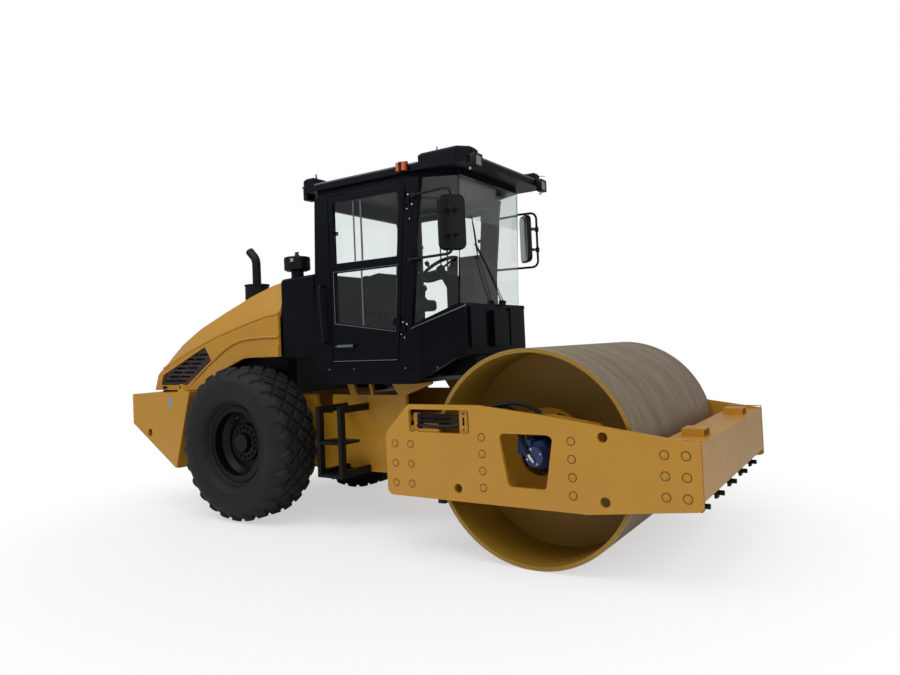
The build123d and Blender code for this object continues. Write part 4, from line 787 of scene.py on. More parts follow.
    def cut(self, cutters: Sequence["Blank"]) -> "Blank":
        """Cut openings in the shape of other blanks, which are gone afterwards.

        Args:
            cutters: Bodies to take away.

        Returns:
            This blank.
        """
        punch = cutters[0].join(cutters[1:])
        self.modify("BOOLEAN", object=punch.piece, solver="EXACT")
        bpy.data.objects.remove(punch.piece)
        return self

    def copies(self, moves: Iterable[Matrix]) -> "Blank":
        """Put a copy, with a mesh of its own, at each place and join them into this piece.

        Args:
            moves: A transform for each copy; the pattern itself isn't kept.

        Returns:
            This blank, holding all copies.
        """
        Blank.leave()
        made = []
        for move in moves:
            twin = self.piece.copy()
            twin.data = self.piece.data.copy()
            twin.data.transform(move)
            if move.determinant() < 0:
                twin.data.flip_normals()
            bpy.context.collection.objects.link(twin)
            made.append(twin)
        name = self.piece.name
        bpy.data.objects.remove(self.piece)
        made[0].name = name
        self.piece = made[0]
        return self.join(made[1:])

    def paired(self) -> "Blank":
        """Keep the right-hand pattern and add its mirror image on the left."""
        return self.copies((Matrix.Identity(4), Matrix.Scale(-1.0, 4, (0.0, 1.0, 0.0))))

    def join(self, others: Iterable[Any]) -> "Blank":
        """Join other pieces or blanks into this one.

        Args:
            others: What is joined; it stops being a piece of its own.

        Returns:
            This blank.
        """
        Blank.leave()
        for other in others:
            (other.piece if isinstance(other, Blank) else other).select_set(True)
        self.piece.select_set(True)
        bpy.context.view_layer.objects.active = self.piece
        bpy.ops.object.join()
        Blank.leave()
        return self

    def done(
        self, shop: "Paintshop", finish: "Finish", body: str = ROOT, angle: float = 35.0
    ) -> bpy.types.Object:
        """Smooth the piece, give it its finish and let it ride on a body.

        Args:
            shop: The paintshop.
            finish: The piece's finish.
            body: CAD body that carries it.
            angle: Edges sharper than this stay sharp, in degrees.

        Returns:
            The finished object.
        """
        Blank.leave()
        bpy.context.view_layer.objects.active = self.piece
        self.piece.select_set(True)
        bpy.ops.object.shade_smooth_by_angle(angle=math.radians(angle))
        shop.dress(self.piece, finish)
        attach(self.piece, body)
        Blank.leave()
        return self.piece


def tube(
    name: str, points: Sequence[Sequence[float]], radius: float, sides: int = 2, smooth: bool = True
) -> Blank:
    """Bend a round tube along points.

    Args:
        name: Name of the piece.
        points: Places on its middle line.
        radius: Radius of the tube.
        sides: Bevel resolution of the curve.
        smooth: Whether the line bends smoothly between the points.

    Returns:
        The tube as a mesh.
    """
    Blank.leave()
    curve = bpy.data.curves.new(name, "CURVE")
    curve.dimensions = "3D"
    curve.bevel_depth = radius
    curve.bevel_resolution = sides
    curve.use_fill_caps = True
    curve.resolution_u = 8
    spline = curve.splines.new("BEZIER" if smooth else "POLY")
    knots = spline.bezier_points if smooth else spline.points
    knots.add(len(points) - 1)
    for knot, place in zip(knots, points):
        if smooth:
            knot.co = place
            knot.handle_left_type = knot.handle_right_type = "AUTO"
        else:
            knot.co = (*place, 1.0)
    made = bpy.data.objects.new(name, curve)
    bpy.context.collection.objects.link(made)
    bpy.context.view_layer.objects.active = made
    made.select_set(True)
    bpy.ops.object.convert(target="MESH")
    blank = Blank.__new__(Blank)
    blank.piece = bpy.context.active_object
    return blank


def about(centre: Sequence[float], axis: str, angle: float) -> Matrix:
    """Turn about an axis through a point."""
    return Matrix.Translation(centre) @ Matrix.Rotation(angle, 4, axis) @ Matrix.Translation(-Vector(centre))


def facing(place: Sequence[float], way: Sequence[float], turn: float = 0.0) -> Matrix:
    """Stand a pattern made upright at the origin at a place, pointing a way."""
    aim = Vector(way).to_track_quat("Z", "Y").to_matrix().to_4x4()
    return Matrix.Translation(place) @ aim @ Matrix.Rotation(turn, 4, "Z")


def both(places: Iterable[Sequence[float]]) -> list[Vector]:
    """Places on the right-hand side, followed by their mirror images on the left."""
    right = [Vector(place) for place in places]
    return right + [Vector((place.x, -place.y, place.z)) for place in right]


def outward(places: Iterable[Sequence[float]]) -> list[Matrix]:
    """Stand an upright pattern at right-hand places and their mirror images, looking away from the middle."""
    return [facing(place, (0.0, math.copysign(1.0, place.y), 0.0)) for place in both(places)]


def lathe(x: float, y: float, steps: Sequence[tuple[float, float]]) -> list[Point]:
    """Lay out a profile of radius and height beside an upright axis."""
    return [(x + radius, y, height) for radius, height in steps]


def bolt(name: str, across: float, height: float, washer: float) -> Blank:
    """Model a hexagon bolt head on its washer, upright at the origin.

    Args:
        name: Name of the piece.
        across: Size of the head across its flats.
        height: Height of the head.
        washer: Diameter of the washer.

    Returns:
        The head with a chamfered top.
    """
    head = Blank.rod(name, (0, 0, 0), (0, 0, height), across / math.sqrt(3.0), 6)
    head.pick("EDGE", lambda place, way: place.z > 0.9 * height).bevelled(0.12 * across)
    ring = Blank.rod(name, (0, 0, 0), (0, 0, 0.25 * height), washer / 2, 16)
    ring.pick("EDGE", lambda place, way: place.z > 0.2 * height).bevelled(0.8 * MM)
    return head.join([ring])


# ---------------------------------------------------------------- wheels
@dataclass
class Tyre:
    """Wide flotation tyre with rows of diamond blocks, each row half a block on from its neighbours.

    Attributes:
        shop: The paintshop.
        node: CAD node that it replaces.
        body: Body of the wheel.
        count: Blocks in a row.
        rows: Numbers of the rows, counted from the middle.
        row: Spacing of the rows across the tyre.
        groove: Depth of the grooves.
        root: Depth to which a block is sunk in the casing.
        top: Share of a block's place that the block keeps.
        taper: Size of a block's top against its foot.
        crown: Distance from the middle and drop below the tread's highest line.
        wall: Outside of one half, from the bead to the shoulder: distance from the middle and from the axle.
        lining: Inside of one half, from the crown to the bead.
        shoulder: Distance from the middle and drop at the shoulder's edge.
        flat: Distance from the middle up to which the tread is level.
    """

    shop: Paintshop
    node: str
    body: str
    count: int = 26
    rows: tuple[int, ...] = (-2, -1, 0, 1, 2)
    row: float = 0.086
    groove: float = 0.022
    root: float = 0.008
    top: float = 0.75
    taper: float = 0.94
    crown: tuple[Pair, ...] = ((0.0, 0.0), (0.155, 0.0), (0.205, 0.018), (0.232, 0.05), (0.258, 0.12))
    wall: tuple[Pair, ...] = (
        (0.136, 0.3176),
        (0.136, 0.368),
        (0.150, 0.384),
        (0.196, 0.398),
        (0.226, 0.420),
        (0.243, 0.455),
        (0.246, 0.462),
        (0.242, 0.468),
        (0.252, 0.500),
        (0.259, 0.550),
        (0.2555, 0.585),
        (0.2495, 0.612),
        (0.236, 0.632),
        (0.222, 0.655),
    )
    lining: tuple[Pair, ...] = (
        (0.0, 0.655),
        (0.130, 0.655),
        (0.205, 0.60),
        (0.2, 0.50),
        (0.095, 0.40),
        (0.09, 0.3176),
    )
    shoulder: Pair = (0.196, 0.016)
    flat: float = 0.150

    def drop(self, across: float) -> float:
        """Find how far the crown has dropped at a distance from the tyre's middle.

        Args:
            across: Distance from the middle.

        Returns:
            The drop below the highest line.
        """
        for (near, near_drop), (far, far_drop) in zip(self.crown, self.crown[1:]):
            if abs(across) <= far:
                return near_drop + (far_drop - near_drop) * (abs(across) - near) / (far - near)
        return self.crown[-1][1]

    def casing(self, middle: Vector, radius: float) -> Blank:
        """Turn the tyre's body, with the bottom of the grooves as its tread.

        Args:
            middle: Middle of the wheel.
            radius: Radius of the tyre.

        Returns:
            The body.
        """
        floor = radius - self.groove
        edge, sunk = self.shoulder
        half = [*self.wall, (edge, floor - sunk), (self.flat, floor), (0.0, floor)]
        one_side = [(-across, out) for across, out in half[:-1]]
        profile = one_side + half[::-1] + list(self.lining[::-1])
        profile += [(-across, out) for across, out in self.lining[1:]] + [one_side[0]]
        points = [(middle.x, middle.y + across, middle.z + out) for across, out in profile]
        return Blank.turned(self.node + "_casing", points, middle, (0.0, 1.0, 0.0), 4 * self.count)

    def block(self, row: int, middle: Vector, radius: float) -> Blank:
        """Model one block of a row, at the top of the tyre, bent down over the shoulder.

        Args:
            row: Number of the row.
            middle: Middle of the wheel.
            radius: Radius of the tyre.

        Returns:
            The block.
        """
        reach = math.pi * radius / self.count
        block = Blank(
            f"{self.node}_block{row}",
            bpy.ops.mesh.primitive_grid_add,
            x_subdivisions=4,
            y_subdivisions=4,
            size=math.sqrt(2.0),
            rotation=(0.0, 0.0, math.pi / 4),
        )
        block.pick("VERT").then(bpy.ops.transform.resize, value=(self.top * reach, self.top * self.row, 1.0))
        rise = {"value": (0, 0, self.groove + self.root)}
        block.pick("FACE").then(bpy.ops.mesh.extrude_region_move, TRANSFORM_OT_translate=rise)
        block.then(bpy.ops.transform.resize, value=(self.taper, self.taper, 1.0))
        block.pick("FACE").then(bpy.ops.mesh.normals_make_consistent, inside=False)
        block.pick("EDGE", lambda place, way: place.z > self.groove and self.on_rim(place, reach))
        block.bevelled(5 * MM)
        foot = radius - self.groove - self.root
        block.pick("VERT").moved(Vector((middle.x, middle.y + row * self.row, middle.z + foot)))
        # Bow the block to the tyre's round and let it follow the crown down, one line of corners at a time.
        mesh = bmesh.from_edit_mesh(block.piece.data)
        lines = {(round(corner.co.x, 4), round(corner.co.y, 4)) for corner in mesh.verts}
        for x, y in sorted(lines):
            sunk = radius - math.sqrt(radius**2 - (x - middle.x) ** 2) + self.drop(y - middle.y)
            block.pick("VERT", lambda at, way: abs(at.x - x) < 0.1 * MM and abs(at.y - y) < 0.1 * MM)
            block.moved((0.0, 0.0, -sunk))
        return block

    def on_rim(self, place: Vector, reach: float) -> bool:
        """Tell whether a place lies on the border of a block's diamond top."""
        size = self.taper * self.top
        return abs(place.x) / (size * reach) + abs(place.y) / (size * self.row) > 0.97

    def build(self) -> None:
        """Make the casing, set the rows of blocks round it and put the tyre in place of the plain one."""
        low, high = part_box(self.node)
        middle, radius = (low + high) / 2, (high.z - low.z) / 2
        tyre = self.casing(middle, radius)
        turn = 2 * math.pi / self.count
        for row in self.rows:
            block = self.block(row, middle, radius)
            block.copies(about(middle, "Y", (k + 0.5 * (row % 2)) * turn) for k in range(self.count))
            tyre.join([block])
        piece = tyre.done(self.shop, Finish.TYRE, self.body, angle=28.0)
        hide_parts(self.node)


@dataclass
class WheelHub:
    """Nuts round the hub and the valve inside the rim.

    Attributes:
        shop: The paintshop.
        side: -1 on the right, 1 on the left.
        body: Body of the wheel.
        rim: CAD node of the rim.
        count: Number of wheel nuts.
        ring: Radius of the nuts' circle.
        across: Size of a nut across its flats.
        face: Distance of the nuts' seat from the wheel's middle.
        valve: Foot of the valve from the wheel's middle: forward, outward and up.
    """

    shop: Paintshop
    side: int
    body: str
    rim: str
    count: int = 16
    ring: float = 0.138
    across: float = 0.028
    face: float = 0.050
    valve: Point = (-0.06, 0.02, 0.25)

    def build(self) -> None:
        """Put the nuts and the valve on the wheel."""
        low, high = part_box(self.rim)
        middle = (low + high) / 2
        out = Vector((0.0, self.side, 0.0))
        seat = middle + out * self.face
        turns = [2 * math.pi * k / self.count for k in range(self.count)]
        spots = [seat + Vector((math.cos(turn), 0.0, math.sin(turn))) * self.ring for turn in turns]
        nuts = bolt(f"wheel_nuts_{self.body}", self.across, 0.02, 0.036)
        nuts.copies(facing(spot, out, turn) for spot, turn in zip(spots, turns))
        nuts.done(self.shop, Finish.RIM, self.body)
        ahead, outwards, up = self.valve
        foot = middle + Vector((ahead, self.side * outwards, up))
        tip = foot + Vector((0.0, self.side * 0.055, -0.012))
        stem = Blank.rod(f"valve_{self.body}", foot, tip, 0.005, 12)
        stem.dished(out, 1.5 * MM, 4 * MM).done(self.shop, Finish.CHROME, self.body)


# ---------------------------------------------------------------- drum frame
@dataclass
class SidePlates:
    """Heads of the studs in the two side plates, each with a dark ring of painted shade for the groove round
    it.

    Attributes:
        shop: The paintshop.
        face: Distance of the plates' outer faces from the centre plane.
        radius: Radius of a head.
        head: Profile of a head: share of its radius and height in millimetres.
        gap: Profile of the dark ring round it, painted shade of the groove round the head, in the same way.
        columns: For each column of heads, its x and the heights in it.
    """

    shop: Paintshop
    face: float = 1.130
    radius: float = 0.026
    head: tuple[Pair, ...] = (
        (0.0, 2.2),
        (0.66, 2.2),
        (0.72, 0.6),
        (0.80, 0.6),
        (0.86, 3.0),
        (0.96, 2.4),
        (1.0, -0.5),
    )
    gap: tuple[Pair, ...] = ((0.97, -0.5), (1.0, 0.9), (1.14, 0.9), (1.17, -0.5))
    columns: tuple[tuple[float, tuple[float, ...]], ...] = (
        (0.700, (0.836, 0.687, 0.538)),
        (0.847, (0.836, 0.687, 0.538)),
        (1.468, (0.912, 0.793, 0.673, 0.554)),
        (2.144, (0.912, 0.793, 0.673, 0.554)),
        (2.7465, (0.853, 0.724, 0.595)),
        (2.8747, (0.853, 0.724, 0.595)),
    )

    def build(self) -> None:
        """Turn one head and its dark ring of painted shade, and put them in every place on both plates."""
        moves = outward((x, -self.face, z) for x, heights in self.columns for z in heights)
        # The dark rubber ring round each head is painted shade: it stands in for the shaded groove round the
        # head.
        for name, profile, finish in (
            ("plate_studs", self.head, Finish.ENAMEL),
            ("plate_stud_shade_rings", self.gap, Finish.BUFFER),
        ):
            points = [(share * self.radius, 0.0, height * MM) for share, height in profile]
            Blank.turned(name, points).copies(moves).done(self.shop, finish, FRAME, angle=50.0)


@dataclass
class DrumDrive:
    """Bolts, hoses and port fittings of the hydraulic motors in the drum's ends.

    Attributes:
        shop: The paintshop.
        axle: A point on the drum's axle.
        flange_face: Distance of the flange's outer face from the centre plane.
        flange_ring: Radius of the flange bolts' circle.
        cover_ring: Radius of the cover bolts' circle.
        drain: Route of the drain hose from the port.
        supply: Route of the supply hose: x and z from the axle, and y.
    """

    shop: Paintshop
    axle: Point
    flange_face: float = 0.868
    flange_ring: float = 0.108
    cover_ring: float = 0.055
    drain: tuple[Point, ...] = ((0, 0, 0), (-0.04, 0.004, 0.07), (-0.105, 0.016, 0.18), (-0.2, 0.02, 0.31))
    supply: tuple[Point, ...] = (
        (-0.36, -1.01, 0.32),
        (-0.25, -1.0, 0.363),
        (-0.09, -0.95, 0.367),
        (0.04, -0.9, 0.3),
    )

    def circle(self, radius: float, face: float, count: int) -> list[Point]:
        """Lay out bolts round the axle.

        Args:
            radius: Radius of the circle.
            face: Distance of the bolts' seat from the centre plane.
            count: Number of bolts, of which the first stands at an eighth of half a turn.

        Returns:
            The right-hand places.
        """
        x, _, z = self.axle
        turns = [math.pi / 8 + 2 * math.pi * k / count for k in range(count)]
        return [(x + radius * math.cos(turn), -face, z + radius * math.sin(turn)) for turn in turns]

    def build(self) -> None:
        """Add the bolts, two hoses and their port fitting on both sides."""
        x, _, z = self.axle
        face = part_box("drum_motors")[1].y
        heads = bolt("motor_bolts", 0.022, 0.014, 0.03)
        heads.copies(outward(self.circle(self.flange_ring, self.flange_face, 8)))
        heads.done(self.shop, Finish.BLACK_STEEL, FRAME)
        cover = bolt("motor_cover_bolts", 0.012, 0.006, 0.016)
        cover.copies(outward(self.circle(self.cover_ring, face - 1 * MM, 4)))
        cover.done(self.shop, Finish.CHROME, FRAME)
        port = Vector((x - 0.028, -face - 0.004, z + 0.004))
        hose = tube("motor_hoses", [port + Vector(step) for step in self.drain], 0.013, 3)
        hose.join([tube("supply", [(x + ahead, y, z + up) for ahead, y, up in self.supply], 0.016, 3)])
        hose.paired().done(self.shop, Finish.HOSE, FRAME)
        low, high = port + Vector((0.022, 0, -0.03)), port + Vector((-0.006, 0, 0.012))
        fitting = Blank.rod("motor_fitting", low, high, 0.017, 6)
        fitting.pick("FACE", lambda place, way: way.z < -0.5).then(bpy.ops.mesh.inset, thickness=3 * MM)
        fitting.then(bpy.ops.mesh.extrude_region_move, TRANSFORM_OT_translate={"value": (0.008, 0.0, -0.012)})
        fitting.paired().done(self.shop, Finish.CHROME, FRAME)


@dataclass
class HoseGuards:
    """Wire coils round the hoses in the side plates' windows, and what holds the hoses there.

    Attributes:
        shop: The paintshop.
        pitch: Spacing of the coil's turns.
        wire: Radius of the wire.
        radius: Radius of the coil.
        runs: Straight runs of the right-hand hoses: start and end.
        third: Route of the third hose.
        drop: Spacing of the three ferrules.
        plate: Distances of the bracket's outer and inner face from the centre plane.
    """

    shop: Paintshop
    pitch: float = 0.011
    wire: float = 0.0026
    radius: float = 0.0175
    runs: tuple[tuple[Point, Point], ...] = (
        ((0.905, -1.0825, 1.045), (1.19, -1.0825, 1.045)),
        ((0.905, -1.0825, 1.010), (1.19, -1.0825, 1.010)),
        ((1.27, -1.071, 1.066), (1.43, -1.038, 1.101)),
        ((1.27, -1.071, 1.031), (1.43, -1.038, 1.066)),
    )
    third: tuple[Point, ...] = (
        (0.89, -1.085, 0.975),
        (1.05, -1.086, 0.972),
        (1.2, -1.084, 0.978),
        (1.33, -1.06, 1.0),
        (1.43, -1.02, 1.04),
    )
    drop: float = 0.035
    plate: Pair = (1.1, 1.094)

    def coil(self, start: Vector, end: Vector) -> Blank:
        """Wind a wire round one run.

        Args:
            start: Start of the hose's middle line.
            end: End of that line.

        Returns:
            The coil.
        """
        way = (end - start).normalized()
        side = way.cross(Vector((0.0, 0.0, 1.0))).normalized()
        above = side.cross(way)
        length = (end - start).length
        steps = int(length / self.pitch * 8)
        points = []
        for k in range(steps + 1):
            turn = 2 * math.pi * k / 8
            out = math.cos(turn) * side + math.sin(turn) * above
            points.append(start + way * (length * k / steps) + out * self.radius)
        return tube("hose_guard", points, self.wire, 0, smooth=False)

    def build(self) -> None:
        """Wind the guards and add the third hose, the ferrules, the slotted bracket and the ledge."""
        coils = [self.coil(Vector(start), Vector(end)) for start, end in self.runs]
        coils[0].join([*coils[1:], tube("third_hose", self.third, 0.014, 3)])
        coils[0].paired().done(self.shop, Finish.HOSE, FRAME, angle=60.0)
        ferrules = Blank.rod("hose_ferrules", (0.895, -1.0825, 1.045), (0.935, -1.0825, 1.045), 0.02, 16)
        ferrules.pick("EDGE", lambda place, way: abs(way.x) < 0.1).bevelled(3 * MM)
        ferrules.copies(Matrix.Translation((0.0, 0.0, -self.drop * k)) for k in range(3))
        ferrules.paired().done(self.shop, Finish.BLACK_STEEL, FRAME)
        outer, inner = self.plate
        bracket = Blank.box("hose_bracket", (1.272, -outer, 0.925), (1.342, -inner, 1.098))
        slot = Blank.box("slot", (1.298, -1.11, 0.985), (1.316, -1.08, 1.045))
        holes = [Blank.rod("hole", (1.307, -1.11, z), (1.307, -1.08, z), 0.008, 16) for z in (0.955, 1.072)]
        ledge = Blank.box("ledge", (0.905, -outer, 0.93), (1.09, -1.062, 0.952)).eased(2 * MM, 2)
        bracket.cut([slot, *holes]).join([ledge]).paired().done(self.shop, Finish.ENAMEL, FRAME)


@dataclass
class FrontBeam:
    """Weld beads of the front and the rear beam, and the scrapers' nuts.

    Attributes:
        shop: The paintshop.
        inner: Distance of the side plates' inner faces from the centre plane.
        weld: Radius of a bead.
        front_top: Height of the front beam at its welds.
        rear_top: Height of the rear beam at its welds.
        rear_end: x at which the rear beam's welds end.
        upright: Lower and upper end of the rear beam's upright weld.
        along: Places of the nuts across the machine.
        studs: For each scraper: x and z of its studs and the way in which they point.
    """

    shop: Paintshop
    inner: float = 1.100
    weld: float = 0.0045
    front_top: float = 0.945
    rear_top: float = 0.93
    rear_end: float = 0.9
    upright: Pair = (0.50, 0.92)
    along: tuple[float, ...] = (-0.86, -0.43, 0.0, 0.43, 0.86)
    studs: tuple[Point, ...] = ((2.9005, 0.500, 1.0), (0.675, 0.420, -1.0))

    def bead(self, start: Pair, end: Pair) -> Blank:
        """Lay one bead on a side plate's inner face, between two places of x and z."""
        ends = [(x, -self.inner, z) for x, z in (start, end)]
        return tube("beam_welds", ends, self.weld, 1, smooth=False)

    def build(self) -> None:
        """Lay the weld beads and put nuts on the scrapers' studs."""
        low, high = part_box("front_beam")
        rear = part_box("rear_beam")[0]
        beads = []
        for first, last, under, top in (
            (low.x, high.x, low.z, self.front_top),
            (rear.x, self.rear_end, rear.z, self.rear_top),
        ):
            beads += [self.bead((first, z), (last, z)) for z in (under, top)]
        beads.append(self.bead((high.x, low.z), (high.x, self.front_top)))
        beads.append(self.bead((rear.x, self.upright[0]), (rear.x, self.upright[1])))
        beads[0].join(beads[1:]).paired().done(self.shop, Finish.ENAMEL, FRAME)
        places = [facing((x, y, z), (way, 0.0, 0.0)) for y in self.along for x, z, way in self.studs]
        bolt("scraper_nuts", 0.028, 0.016, 0.036).copies(places).done(self.shop, Finish.BLACK_STEEL, FRAME)


# ---------------------------------------------------------------- cab, outside
@dataclass
class DoorFittings:
    """Seals, pane frame, sliding bars, grip, lock and latches of one door.

    Attributes:
        shop: The paintshop.
        side: -1 on the right, 1 on the left.
        name: Name of that side.
        pane: Corners of the lower pane: x and z from the rear foot round to the front foot.
        glass: Distance of the pane's outer face from the centre plane.
        skin: Distance of the door's outer face from the centre plane.
        margin: Distance of the pane's frame from the pane's edge.
        slide: For each sliding bar: rear and front x, lower and upper z, half thickness.
        latches: x and z of the window latches.
    """

    shop: Paintshop
    side: int
    name: str
    pane: tuple[Pair, ...] = ((-0.209, 1.818), (-0.207, 2.262), (0.483, 2.262), (0.434, 1.722))
    glass: float = 0.704
    skin: float = 0.720
    margin: float = 0.012
    slide: tuple[tuple[float, ...], ...] = (
        (0.085, 0.103, 1.768, 2.258, 0.003),
        (0.020, 0.034, 2.350, 2.888, 0.004),
        (0.10, 0.118, 2.350, 2.888, 0.004),
    )
    latches: tuple[Pair, ...] = ((-0.206, 2.618), (0.485, 2.605), (0.11, 2.05))

    def loop(self, name: str, y: float, corners: Sequence[Pair], radius: float) -> Blank:
        """Run a thin round profile along corners and back to the first.

        Args:
            name: Name of the piece.
            y: Distance from the centre plane.
            corners: x and z of the corners.
            radius: Radius of the profile.

        Returns:
            The closed loop.
        """
        points = [(x, self.side * y, z) for x, z in corners]
        return tube(f"{name}_{self.name}", [*points, points[0]], radius, 1, smooth=False)

    def block(self, name: str, low: Point, high: Point) -> Blank:
        """Start from a cuboid given for the left side and put on this side."""
        return Blank.box(name, (low[0], self.side * low[1], low[2]), (high[0], self.side * high[1], high[2]))

    def build(self) -> None:
        """Fit the door's small parts."""
        body = f"door_{self.name}_leaf"
        face = self.glass + 0.003
        seal = self.loop("pane_seal", face, self.pane, 0.0045)
        (rear, foot), (front, toe) = self.pane[0], self.pane[-1]
        top, gap = self.pane[1][1] + 0.010, self.margin
        border = ((rear - gap, foot - gap), (rear - gap, top), (0.493, top), (front + gap, toe - gap))
        rail = self.loop("pane_frame", self.skin + 0.001, border, 0.0042)
        bars = []
        for rear, front, low, high, half in self.slide:
            bar = self.block(f"upper_bars_{self.name}", (rear, face - half, low), (front, face + half, high))
            bars.append(bar.rounded(Z, 1.5 * MM))
        rail.join(bars[:1]).done(self.shop, Finish.TRIM, body)
        seal.done(self.shop, Finish.BUFFER, body)
        bars[1].piece.name = f"upper_bars_{self.name}"
        bars[1].join(bars[2:]).done(self.shop, Finish.TRIM, body)
        grip = self.block(f"door_grip_{self.name}", (-0.186, 0.734, 1.592), (-0.004, 0.753, 1.616))
        grip.rounded(X, 5 * MM, 2)
        barrel = ((-0.212, self.side * self.skin, 1.604), (-0.212, self.side * 0.731, 1.604))
        lock = Blank.rod("lock", *barrel, 0.011, 16).dished((0.0, self.side, 0.0), 3 * MM, -2 * MM)
        edge = self.block("door_edge", (-0.255, self.skin, 1.4665), (0.452, 0.7225, 1.4735))
        grip.join([lock, edge.rounded(X, 0.8 * MM)]).done(self.shop, Finish.TRIM, body)
        latch = Blank.box(f"window_latches_{self.name}", (0.0, -0.009, -0.014), (0.026, 0.009, 0.014))
        latch.dished((0.0, 0.0, 1.0), 4 * MM, 6 * MM)
        latch.copies(Matrix.Translation((x, self.side * 0.686, z)) for x, z in self.latches)
        latch.done(self.shop, Finish.PLASTIC, body)


@dataclass
class CabBolts:
    """Bolts and plates of the door hinges, and bolts of the skirt below the doors.

    Attributes:
        shop: The paintshop.
        pillar: Distance of the pillars' outer faces from the centre plane.
        skirt: Distance of the skirt's outer face from the centre plane.
        hinges: x and z of the hinges' bolts.
        feet: x and z of the skirt's bolts.
        plates: Lower rear and upper front corner of each hinge plate, as x and z.
        thickness: Thickness of a hinge plate.
    """

    shop: Paintshop
    pillar: float = 0.720
    skirt: float = 0.726
    hinges: tuple[Pair, ...] = (
        (0.630, 2.846),
        (0.666, 2.760),
        (0.618, 2.728),
        (0.640, 2.640),
        (0.526, 1.783),
        (0.566, 1.765),
        (0.508, 1.683),
        (0.540, 1.653),
    )
    feet: tuple[Pair, ...] = ((-0.305, 1.398), (-0.019, 1.398), (0.540, 1.398), (0.860, 1.398))
    plates: tuple[tuple[Pair, Pair], ...] = (
        ((0.600, 2.625), (0.656, 2.755)),
        ((0.500, 1.640), (0.556, 1.697)),
    )
    thickness: float = 0.004

    def build(self) -> None:
        """Screw the bolts in on both sides and lay the plates."""
        for name, places, face, finish in (
            ("hinge_bolts", self.hinges, self.pillar, Finish.CHROME),
            ("skirt_bolts", self.feet, self.skirt, Finish.TRIM),
        ):
            heads = bolt(name, 0.012, 0.008, 0.017)
            heads.copies(outward((x, -face, z) for x, z in places)).done(self.shop, finish)
        outer = self.pillar + self.thickness
        first, *others = [
            Blank.box("hinge_plates", (rear, -outer, low), (front, -self.pillar, high))
            for (rear, low), (front, high) in self.plates
        ]
        first.join(others).rounded(Y, 8 * MM, 2).paired().done(self.shop, Finish.CAB_ENAMEL)


